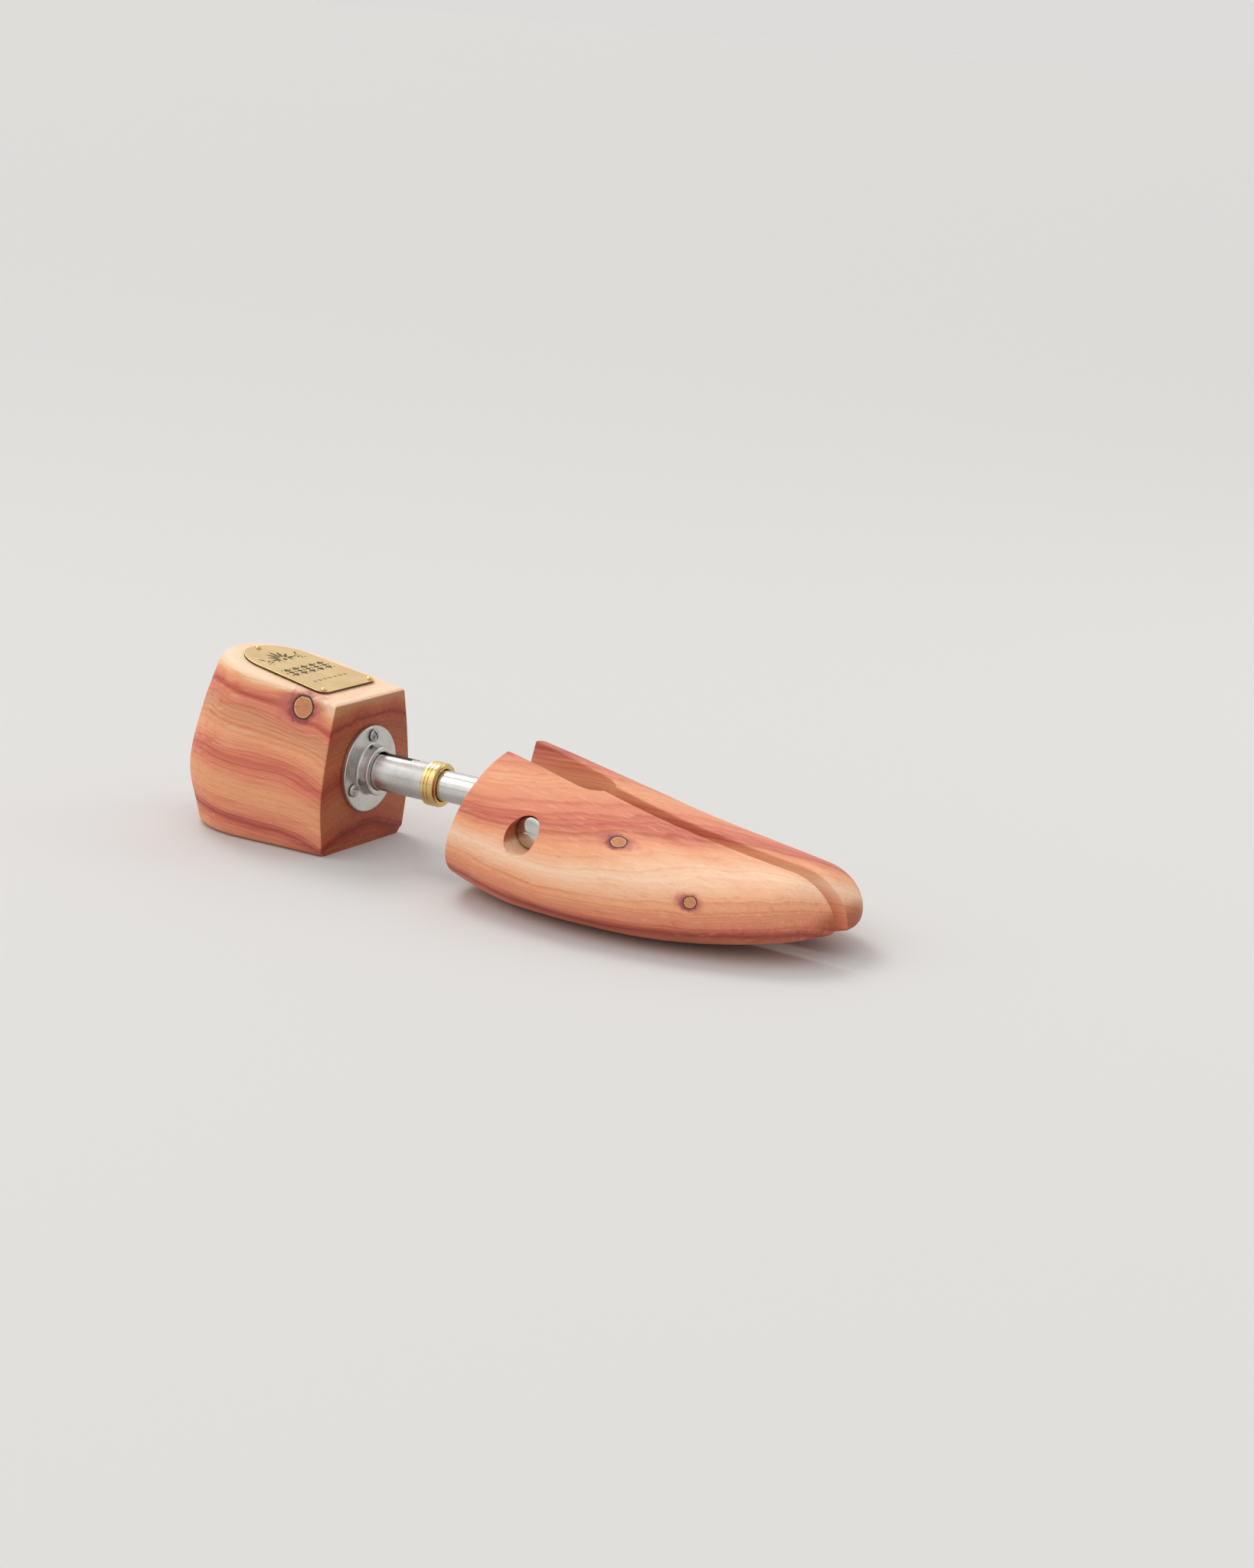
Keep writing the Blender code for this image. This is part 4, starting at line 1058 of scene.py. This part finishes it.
def make_pivot_bolt():
    """A slotted round-headed bolt across the halves, and a slotted nut on its far end."""
    low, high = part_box("pivot_bolt")
    bolt_face, length = low[1], high[1] - low[1]
    radius, head = BOLT_HEAD_RADIUS, BOLT_HEAD_THICKNESS
    points = dome(radius, 1.2 * MM, -1.2 * MM, 10)
    points += [(radius, head - 0.2 * MM), (radius - 0.2 * MM, head), (PIVOT_RADIUS, head)]
    points += [(PIVOT_RADIUS, length - 0.5 * MM), (PIVOT_RADIUS - 0.5 * MM, length), (0, length)]
    bolt = turned("bolt_head", points, (PIVOT_X, bolt_face, TUBE_Z), (0, 1, 0))
    low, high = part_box("pivot_nut")
    nut_face, length = high[1], high[1] - low[1]
    bore = PIVOT_RADIUS + NUT_SLACK
    edge = 0.8 * MM
    points = [(bore, 0), (radius, 0), (radius, length - edge)]
    points += arc((radius - edge, length - edge), edge, 0, 90, 6)
    points += [(bore + 0.4 * MM, length), (bore, length - 0.4 * MM)]
    nut = turned("ring_nut", points, (PIVOT_X, low[1], TUBE_Z), (0, 1, 0))
    half, depth = BOLT_SLOT
    for item, face, inward in ((bolt, bolt_face, 1), (nut, nut_face, -1)):
        low_y, high_y = sorted((face - inward * 1 * MM, face + inward * depth))
        slot_low = (PIVOT_X - 8 * MM, low_y, TUBE_Z - half)
        slot_high = (PIVOT_X + 8 * MM, high_y, TUBE_Z + half)
        combine(item, [box_object("slot", slot_low, slot_high)], sharp=30)
    dress(bolt, "pivot", "nickel", polished_nickel(), "pivot_bolt")
    dress(nut, "pivot", "nickel", polished_nickel(), "pivot_nut")


def make_spring(name, node, body, start, axis, length, gauge):
    """A coil of a (radius, wire, turns) gauge."""
    spring = coil(name, start, axis, length, *gauge)
    dress(spring, body, "spring_steel", spring_steel(), node)
    return spring


def make_springs():
    """The spring in the tube, one behind the bolt in each half, and one between the halves."""
    low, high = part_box("tube_spring")
    length = high[0] - low[0]
    start = (low[0], AXIS_Y, TUBE_Z)
    spring = make_spring("tube_coil", "tube_spring", "heel", start, (1, 0, 0), length, TUBE_SPRING)
    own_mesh(spring)
    for side, name in ((-1, "lateral"), (1, "medial")):
        node = "splay_spring_" + name
        low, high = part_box(node)
        length = high[1] - low[1]
        start = (PIVOT_X, low[1] if side > 0 else high[1], TUBE_Z)
        coil_name = "splay_coil_" + name
        spring = make_spring(coil_name, node, "pivot", start, (0, side, 0), length, SPLAY_SPRING)
        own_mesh(spring)
    low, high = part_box("toe_spring")
    length = high[1] - low[1]
    x, z = FRONT_DOWEL
    start = (x, low[1], z)
    spring = make_spring("toe_coil", "toe_spring", "pivot", start, (0, 1, 0), length, TOE_SPRING)
    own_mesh(spring)


# ---------------------------------------------------------------- materials


class Wire:
    """A value in a node tree. Sums and products of wires are math nodes."""

    def __init__(self, nodes, socket):
        self.nodes = nodes
        self.socket = socket

    def __add__(self, other):
        return self.nodes.math("ADD", self, other)

    def __sub__(self, other):
        return self.nodes.math("SUBTRACT", self, other)

    def __mul__(self, other):
        return self.nodes.math("MULTIPLY", self, other)

    def at_least(self, limit):
        return self.nodes.math("MAXIMUM", self, limit)

    def root(self):
        return self.nodes.math("SQRT", self)


class Nodes:
    """A node tree, with a method for each kind of node that is used."""

    def __init__(self, tree):
        self.tree = tree

    def node(self, kind, **settings):
        made = self.tree.nodes.new(kind)
        for name, value in settings.items():
            setattr(made, name, value)
        return made

    def feed(self, made, *values):
        """Set a node's first inputs, or link them to wires."""
        for socket, value in zip(made.inputs, values):
            self.put(socket, value)

    def put(self, socket, value):
        if isinstance(value, Wire):
            self.tree.links.new(value.socket, socket)
        else:
            socket.default_value = value

    def math(self, operation, *values, clamp=False):
        made = self.node("ShaderNodeMath", operation=operation, use_clamp=clamp)
        self.feed(made, *values)
        return Wire(self, made.outputs[0])

    def vector(self, operation, *values):
        made = self.node("ShaderNodeVectorMath", operation=operation)
        self.feed(made, *values)
        return Wire(self, made.outputs["Value" if operation == "DOT_PRODUCT" else "Vector"])

    def scaled(self, vector, factor):
        made = self.node("ShaderNodeVectorMath", operation="SCALE")
        self.feed(made, vector)
        self.put(made.inputs["Scale"], factor)
        return Wire(self, made.outputs[0])

    def join(self, x, y, z):
        made = self.node("ShaderNodeCombineXYZ")
        self.feed(made, x, y, z)
        return Wire(self, made.outputs[0])

    def split(self, vector):
        made = self.node("ShaderNodeSeparateXYZ")
        self.feed(made, vector)
        return [Wire(self, socket) for socket in made.outputs]

    def noise(self, at, scale, detail=2.0, roughness=0.5, dimensions="3D"):
        made = self.node("ShaderNodeTexNoise", noise_dimensions=dimensions)
        self.put(made.inputs["W" if dimensions == "1D" else "Vector"], at)
        made.inputs["Scale"].default_value = scale
        made.inputs["Detail"].default_value = detail
        made.inputs["Roughness"].default_value = roughness
        return Wire(self, made.outputs["Fac"])

    def grain(self, vector, stretch, offset=(0, 0, 0), detail=2.0, roughness=0.5):
        """Noise whose features are 1 / stretch long along each axis."""
        made = self.node("ShaderNodeMapping")
        self.put(made.inputs["Vector"], vector)
        made.inputs["Scale"].default_value = stretch
        made.inputs["Location"].default_value = offset
        return self.noise(Wire(self, made.outputs[0]), 1, detail, roughness)

    def band(self, value, low, high, out_low=0.0, out_high=1.0):
        """A smooth step of a value, from one output below to another above."""
        made = self.node("ShaderNodeMapRange", interpolation_type="SMOOTHSTEP")
        self.feed(made, value, low, high, out_low, out_high)
        return Wire(self, made.outputs[0])

    def ridge(self, value, low, high, close, shut=1.0):
        """1 where a value is between high and close, fading to 0 at low and at shut."""
        return self.band(value, low, high) * self.band(value, close, shut, 1, 0)

    def ramp(self, value, *stops):
        """A colour ramp of (place, linear colour) stops, and its alpha."""
        made = self.node("ShaderNodeValToRGB")
        self.feed(made, value)
        elements = made.color_ramp.elements
        while len(elements) < len(stops):
            elements.new(0.5)
        for element, (place, colour) in zip(elements, stops):
            element.position = place
            element.color = (*colour, 1) if len(colour) == 3 else colour
        return [Wire(self, socket) for socket in made.outputs]

    def mix(self, share, low, high, blend="MIX"):
        made = self.node("ShaderNodeMix", data_type="RGBA", blend_type=blend)
        self.put(made.inputs["Factor"], share)
        for socket, value in zip(made.inputs[6:8], (low, high)):
            self.put(socket, (*value, 1) if isinstance(value, tuple) else value)
        return Wire(self, made.outputs[2])

    def multiply(self, share, colour, by):
        return self.mix(share, colour, by, "MULTIPLY")


class Paint(Nodes):
    """A Principled material, whose place is the object's own, in millimetres."""

    def __init__(self, name, roughness=0.5, metallic=0.0, specular=0.5):
        self.material = bpy.data.materials.new(name)
        self.material.use_nodes = True
        super().__init__(self.material.node_tree)
        self.shader = self.tree.nodes["Principled BSDF"]
        self.shader.inputs["Roughness"].default_value = roughness
        self.shader.inputs["Metallic"].default_value = metallic
        self.shader.inputs["Specular IOR Level"].default_value = specular
        texture = self.node("ShaderNodeTexCoord")
        self.place = self.scaled(Wire(self, texture.outputs["Object"]), 1 / MM)
        self.normal = Wire(self, texture.outputs["Normal"])

    def finish(self, colour, roughness=None, height=None, strength=0.0, depth=0.0):
        """Link the shader. The bump is of a height, whose depth is in metres."""
        self.put(self.shader.inputs["Base Color"], (*colour, 1) if isinstance(colour, tuple) else colour)
        if roughness is not None:
            self.put(self.shader.inputs["Roughness"], roughness)
        if height is not None:
            made = self.node("ShaderNodeBump")
            made.inputs["Strength"].default_value = strength
            made.inputs["Distance"].default_value = depth
            self.put(made.inputs["Height"], height)
            self.put(self.shader.inputs["Normal"], Wire(self, made.outputs[0]))
        return self.material


def once(make):
    """Make a material the first time that it is asked for, and share it after that."""
    made = []

    def shared():
        if not made:
            made.append(make())
        return made[0]

    return shared


def metal(name, colour, roughness, spread, brushed, scratch, darker_tone=None):
    """A metal: brushed streaks, uneven polish, small scratches, and a slight tarnish in its colour."""
    paint = Paint(name, roughness=roughness, metallic=1.0)
    cloud = paint.noise(paint.place, 0.09, 3, 0.6)
    streak = paint.grain(paint.place, brushed, detail=3, roughness=0.65)
    fine = paint.grain(paint.place, tuple(b * 3.1 for b in brushed), (7, 3, 5), 2, 0.7)
    polish = cloud * 0.6 + streak * 0.4
    level = paint.math("MULTIPLY_ADD", polish, 2 * spread, roughness - spread, clamp=True)
    tone = paint.band(streak * 0.35 + cloud, 0.35, 0.95)
    tint = paint.mix(tone, darker_tone or tuple(0.72 * c for c in colour), colour)
    return paint.finish(tint, level, streak + fine * 0.6, scratch, METAL_RELIEF)


@once
def polished_nickel():
    return metal("polished_nickel", (0.72, 0.70, 0.67), 0.16, 0.06, (0.15, 4, 4), 0.10)


@once
def brushed_nickel():
    return metal("brushed_nickel", (0.66, 0.64, 0.61), 0.27, 0.08, (0.2, 5, 5), 0.18)


@once
def fastener_steel():
    return metal("fastener_steel", (0.56, 0.55, 0.53), 0.30, 0.08, (3, 3, 3), 0.15)


@once
def spring_steel():
    return metal("spring_steel", (0.42, 0.41, 0.40), 0.24, 0.08, (2, 2, 2), 0.10)


@once
def polished_brass():
    return metal("polished_brass", (0.86, 0.66, 0.30), 0.20, 0.07, (2.5, 2.5, 2.5), 0.12, (0.62, 0.42, 0.16))


@once
def plate_brass():
    """Satin brass, lightly brushed along the plate, with faint clouding."""
    colour, darker_tone = (0.73, 0.53, 0.255), (0.63, 0.44, 0.195)
    return metal("satin_plate_brass", colour, 0.38, 0.06, (0.12, 5, 5), 0.22, darker_tone)


@once
def plate_edge():
    """The plate's cut edge, painted dark: painted shade and painted reflection of dark surroundings on its
    side wall.
    """
    # Very dark browns standing in for shade and for reflection of dark surroundings on the edge.
    colour, darker_tone = (0.20, 0.12, 0.05), (0.07, 0.04, 0.02)
    return metal("painted_shade_plate_edge", colour, 0.55, 0.08, (1, 1, 6), 0.2, darker_tone)


@once
def engraving_fill():
    paint = Paint("engraving_fill", roughness=0.62)
    cloud = paint.noise(paint.place, 2.2, 3, 0.6)
    tint = paint.mix(paint.band(cloud, 0.3, 0.7), (0.055, 0.034, 0.014), (0.16, 0.10, 0.045))
    return paint.finish(tint, None, cloud, 0.3, 0.05 * MM)


class Knot:
    """A branch through the wood, from (centre, axis, radius, reach): its distance in radii from any
    place, and how far it pushes the grain aside there. Lengths are in millimetres."""

    def __init__(self, paint, centre, axis, radius, reach, seed):
        self.paint = paint
        outward = Vector(axis).normalized()
        along = (Vector((1, 0, 0)) - outward * outward.x).normalized()
        self.up = outward.cross(along)
        if self.up.z < 0:
            self.up = -self.up
        offset = paint.vector("SUBTRACT", paint.place, centre)
        depth = paint.vector("DOT_PRODUCT", offset, outward)
        self.a = paint.vector("DOT_PRODUCT", offset, along) * (1 / radius)
        self.b = paint.vector("DOT_PRODUCT", offset, self.up) * (1 / radius)
        self.present = paint.band(depth, -reach, -0.35 * reach)
        self.wobble = paint.grain(offset, (0.35,) * 3, (seed, 0, 0), 3, 0.6) - 0.5
        plain = self.distance(0, 0)
        self.rho = self.wobble * 0.28 + plain
        push = paint.math("DIVIDE", 1, (plain * plain).at_least(1))
        self.shift = self.b * push * (self.present * radius)

    def distance(self, a0, b0, a_scale=1.0, b_scale=1.0):
        """The distance in radii from a point of the knot, stretched if asked."""
        a = (self.a - a0) * a_scale
        b = (self.b - b0) * b_scale
        return (a * a + b * b).root()

    def halo(self, colour, spread, stain, *steps):
        """Redden the wood round the knot, in a mottled spot."""
        spot = self.paint.band(spread, *steps, 0.85, 0) * self.present
        return self.paint.mix(spot, colour, stain)

    def over(self, colour, fibre):
        """Lay the reddened halo, the bark ring and the ringed heart over a colour."""
        paint = self.paint
        wide = self.wobble * 0.9 + self.distance(-0.25, 0, 0.40, 0.66)
        colour = self.halo(colour, wide, KNOT_HALO, 0.50, 1.30)
        close = self.wobble * 1.3 + self.distance(-0.16, -0.16)
        colour = self.halo(colour, close, KNOT_STAIN, 0.95, 1.65)
        heart = self.wobble * 0.35 + self.distance(*KNOT_HEART)
        line = paint.ridge(paint.math("FRACT", heart * KNOT_RINGS), 0.45, 0.85, 0.92)
        wood = paint.mix(line * 0.55, KNOT_WOOD, KNOT_LINE)
        wood = paint.mix(paint.band(heart, 0.05, 0.5, 0.55, 0), wood, KNOT_CORE)
        wood = paint.mix(paint.band(self.rho, 0.76, 0.88, 0, 0.7), wood, KNOT_RIM)
        turn = paint.math("ARCTAN2", self.b - KNOT_HEART[1], self.a - KNOT_HEART[0])
        spokes = paint.noise(turn, 3.2, 3, 0.7, "1D")
        check = paint.band(spokes, 0.66, 0.71) * paint.band(self.rho, 0.2, 0.5)
        wood = paint.mix(check * 0.8, wood, KNOT_CHECK)
        wood = paint.mix(paint.band(fibre, 0.35, 0.75, 0.18, 0), wood, KNOT_FIBRE)
        bark = paint.mix(paint.band(fibre, 0.3, 0.7), *KNOT_BARK)
        disc = paint.band(self.rho, 1.03, 1.12, 1, 0) * self.present
        self.line = paint.math("MAXIMUM", line, check) * disc
        self.ring = paint.ridge(self.rho, 0.86, 0.93, 1.0, 1.1) * self.present
        return paint.mix(disc, colour, paint.mix(paint.band(self.rho, 0.87, 0.93), wood, bark))


def growth_rings(paint, placed, flow):
    """The distance of each place from the log's pith, which sinks, climbs and droops along the grain."""
    x, y, z = paint.split(placed)
    behind = (x * -1 + DIP_START).at_least(0)
    ahead = (x - DROOP_START).at_least(0)
    bent = behind * behind * flow["dip"] + ahead * ahead * flow["droop"]
    above = z + bent + (x - DIP_START) * flow["rise"] - flow["pith"][1]
    across = y - flow["pith"][0]
    return (across * across + above * above).root()


def cedar(name, flow, spacing, stops, knots, seed, sapwood=None):
    """Aromatic cedar, sawn from a log along X: zones of colour that follow the growth rings, thin
    latewood lines, fibres along the grain, and knots that the grain flows round. The flow says where
    the pith is and how it bends. The sapwood is a (height, fall, depth, gain) skin under a sloping
    top, where the colour is that of a ring farther out by the gain."""
    paint = Paint(name, roughness=0.5, specular=0.26)
    wave = paint.grain(paint.place, (0.016, 0.045, 0.045), (seed, 0, 0)) - 0.5
    ripple = paint.grain(paint.place, (0.05, 0.22, 0.22), (0, seed, 0)) - 0.5
    placed = paint.vector("ADD", paint.place, paint.join(0, 0, wave * 5.0 + ripple * 1.3))
    found = [Knot(paint, *facts, seed + 3 * k) for k, facts in enumerate(knots)]
    for knot in found:
        placed = paint.vector("SUBTRACT", placed, paint.scaled(knot.up, knot.shift))
    radius = growth_rings(paint, placed, flow)
    count = paint.noise(radius, 0.11, 2, 0.5, "1D") * 7.0 + radius * (1 / spacing)
    strength = paint.noise(paint.math("FLOOR", count) * 0.73, 1.0, 0, 0.5, "1D")
    late = paint.ridge(paint.math("FRACT", count), 0.35, 0.90, 0.93)
    late = late * paint.band(strength, 0.25, 0.75, 0.25, 1)
    drift = paint.grain(paint.place, (0.03, 0.12, 0.12), (0, 0, seed), 3, 0.6) - 0.5
    zone = drift * 4.0 + radius
    if sapwood:
        height, fall, depth, gain = sapwood
        true_x, _, true_z = paint.split(paint.place)
        buried = drift * 2.0 + (true_x * -fall + height - true_z)
        zone = zone + paint.band(buried, 0.2, depth, gain, 0)
    low, high = stops[0][0], stops[-1][0]
    span = high - low
    # A stop's alpha is how strongly the fine figure shows there: least in the palest wood.
    tints = [((r - low) / span, (*tint, min(max(1.25 - 1.7 * tint[1], 0.24), 1))) for r, tint in stops]
    colour, contrast = paint.ramp((zone - low) * (1 / span), *tints)
    fibre = paint.grain(placed, (0.055, 1.9, 1.9), (seed, 1, 2), 3, 0.62)
    fine = paint.grain(placed, (0.14, 6.5, 6.5), (3, seed, 1), 2, 0.6)
    streak = paint.grain(placed, (0.022, 0.62, 0.62), (1, 3, seed), 3, 0.6)
    fleck = paint.grain(placed, (0.22, 4.2, 4.2), (5, 5, seed), 1, 0.5)
    colour = paint.multiply(contrast * late * 0.55, colour, LATEWOOD)
    colour = paint.multiply(paint.band(streak, 0.52, 0.74) * contrast, colour, DARK_STREAK)
    colour = paint.mix(paint.band(streak, 0.26, 0.44, 0.26, 0), colour, PALE_STREAK)
    colour = paint.multiply(paint.band(fibre, 0.40, 0.70, 0, 0.24), colour, FIBRE)
    colour = paint.multiply(paint.band(fine, 0.52, 0.80, 0, 0.36), colour, FINE_FIBRE)
    colour = paint.multiply(paint.band(fleck, 0.70, 0.78, 0, 0.55), colour, PORE)
    for knot in found:
        colour = knot.over(colour, fine)
    # Faces across X are darkened: partly the end grain's own colour, partly painted shade.
    normal_x = paint.math("ABSOLUTE", paint.split(paint.normal)[0])
    colour = paint.multiply(paint.band(normal_x, 0.80, 0.97), colour, END_GRAIN_AND_SHADE)
    height = late * 0.55 + (fibre * 0.5 + fine * 0.8)
    for knot in found:
        height = height - (knot.ring * 1.6 + knot.line * 0.5)
    return paint.finish(colour, fibre * 0.22 + 0.41, height, 0.35, WOOD_RELIEF)


@once
def cedar_heel():
    stops = [
        (38, SALMON),
        (44, PEACH),
        (49, TAN),
        (54, SALMON),
        (57.5, PURPLE),
        (60, SALMON),
        (66, PEACH),
        (72, TAN),
        (77, SALMON),
        (79.5, RED),
        (82, SALMON),
        (86.5, PEACH),
        (90, TAN),
        (94.5, DEEP_TAN),
        (97, DEEP_SALMON),
        (99, SALMON),
        (100.6, RED),
        (101.4, DARK_RED),
        (102.4, SALMON),
        (103.6, LIGHT_SALMON),
        (105, PEACH),
        (106.4, PALE),
        (108, CREAM),
        (113, WHITE_CREAM),
        (118, CREAM),
        (126, DULL_CREAM),
    ]
    flow = {"pith": (0, -40), "dip": 0.03, "rise": 0.07, "droop": 0.0115}
    knots = [((-79.8, -23.9, 56.3), (0.06, -0.96, 0.27), 4.45, 30)]
    fall = math.tan(TOP_SLOPE)
    sapwood = ((BLOCK_TOP_Z + fall * HEEL_BACK_X) / MM, fall, 2.2, 5.0)
    return cedar("cedar_heel_block", flow, 1.35, stops, knots, 2.0, sapwood)


@once
def cedar_toe():
    stops = [
        (50, SALMON),
        (60, PEACH),
        (66, SALMON),
        (70, PURPLE),
        (73, SALMON),
        (80, PEACH),
        (86, CREAM),
        (91, PEACH),
        (95, RED),
        (98, SALMON),
        (104, PEACH),
        (109, SALMON),
        (113, PURPLE),
        (116, SALMON),
        (124, PEACH),
        (140, CREAM),
    ]
    flow = {"pith": (-18, -58), "dip": 0.0, "rise": 0.0, "droop": 0.0}
    knots = [
        ((64, -27, 32), (0.15, -0.55, 0.82), 3.1, 26),
        ((72, 33, 24), (0.1, 0.78, 0.62), 2.8, 24),
        ((98, -30, 17), (0.2, -0.85, 0.5), 2.3, 22),
    ]
    return cedar("cedar_forefoot", flow, 1.6, stops, knots, 11.0)


# ---------------------------------------------------------------- stage


def make_stage():
    """A plain pale floor, wide enough to reach the horizon."""
    work = bmesh.new()
    bmesh.ops.create_circle(work, cap_ends=True, radius=60, segments=96)
    floor = mesh_object("floor", work)
    paint = Paint("floor", roughness=0.8, specular=0.2)
    floor.data.materials.append(paint.finish(FLOOR_COLOUR))


def make_world():
    """A studio's light: as pale as the floor at the horizon, darker above it, and bright overhead."""
    world = bpy.data.worlds.new("studio")
    world.use_nodes = True
    bpy.context.scene.world = world
    sky = Nodes(world.node_tree)
    direction = Wire(sky, sky.node("ShaderNodeTexCoord").outputs["Generated"])
    height = sky.split(direction)[2]
    levels = [(0.0, HORIZON), (0.06, HORIZON)]
    levels += [(rise, tuple(level * share for share in SKY_TINT)) for rise, level in SKY_LEVELS]
    colour = sky.ramp(height, *levels)[0]
    for towards, start, end, brightness in PANELS:
        facing = sky.vector("DOT_PRODUCT", direction, Vector(towards).normalized())
        panel = sky.band(facing, start, end, 0, brightness) * sky.band(height, *PANEL_RISE)
        colour = sky.mix(1.0, colour, panel, "ADD")
    sky.put(sky.tree.nodes["Background"].inputs["Color"], colour)


def add_light(name, lamp, place, target=(0, 0, 0)):
    made = bpy.data.objects.new(name, lamp)
    made.location = place
    made.rotation_euler = (Vector(target) - Vector(place)).to_track_quat("-Z", "Y").to_euler()
    bpy.context.collection.objects.link(made)


def make_lights():
    """A soft sun behind the heel, and a large soft box on each side."""
    sun = bpy.data.lights.new("key", "SUN")
    sun.energy = 1.0
    sun.angle = math.radians(24)
    sun.color = (1.0, 0.985, 0.965)
    add_light("key", sun, (-0.62, 0.32, 0.80))
    boxes = {
        "left_box": ((-0.9, -0.5, 0.9), (0.7, 0.9), 1.6),
        "right_box": ((0.7, 0.9, 0.7), (0.5, 0.7), 1.2),
    }
    for name, (place, size, power) in boxes.items():
        lamp = bpy.data.lights.new(name, "AREA")
        lamp.shape = "RECTANGLE"
        lamp.size, lamp.size_y = size
        lamp.energy = power
        add_light(name, lamp, place, (0, 0, 0.03))
    bpy.context.scene.view_settings.view_transform = "Standard"


def make_camera():
    lens = bpy.data.cameras.new("camera")
    lens.lens = 70.3
    lens.sensor_width = 36
    lens.clip_start = 0.05
    camera = bpy.data.objects.new("camera", lens)
    azimuth, elevation, roll = (math.radians(angle) for angle in CAMERA_ANGLES)
    level = math.cos(elevation)
    forward = Vector((level * math.cos(azimuth), level * math.sin(azimuth), -math.sin(elevation)))
    right = forward.cross(Vector((0, 0, 1))).normalized()
    up = right.cross(forward)
    turned_right = right * math.cos(roll) + up * math.sin(roll)
    turned_up = up * math.cos(roll) - right * math.sin(roll)
    turn = Matrix((turned_right, turned_up, -forward)).transposed()
    camera.matrix_world = Matrix.Translation(CAMERA_PLACE) @ turn.to_4x4()
    bpy.context.collection.objects.link(camera)
    bpy.context.scene.camera = camera


def main():
    make_heel_block()
    make_plate()
    make_plate_pins()
    make_toe_half("toe_lateral", -1)
    make_toe_half("toe_medial", 1)
    make_tubes()
    make_collar()
    make_flange()
    make_flange_screws()
    make_pivot_eye()
    make_pivot_bolt()
    make_springs()
    make_pin("front_guide_rod")
    make_pin("toe_guide_rod")
    make_stage()
    make_world()
    make_lights()
    make_camera()


main()
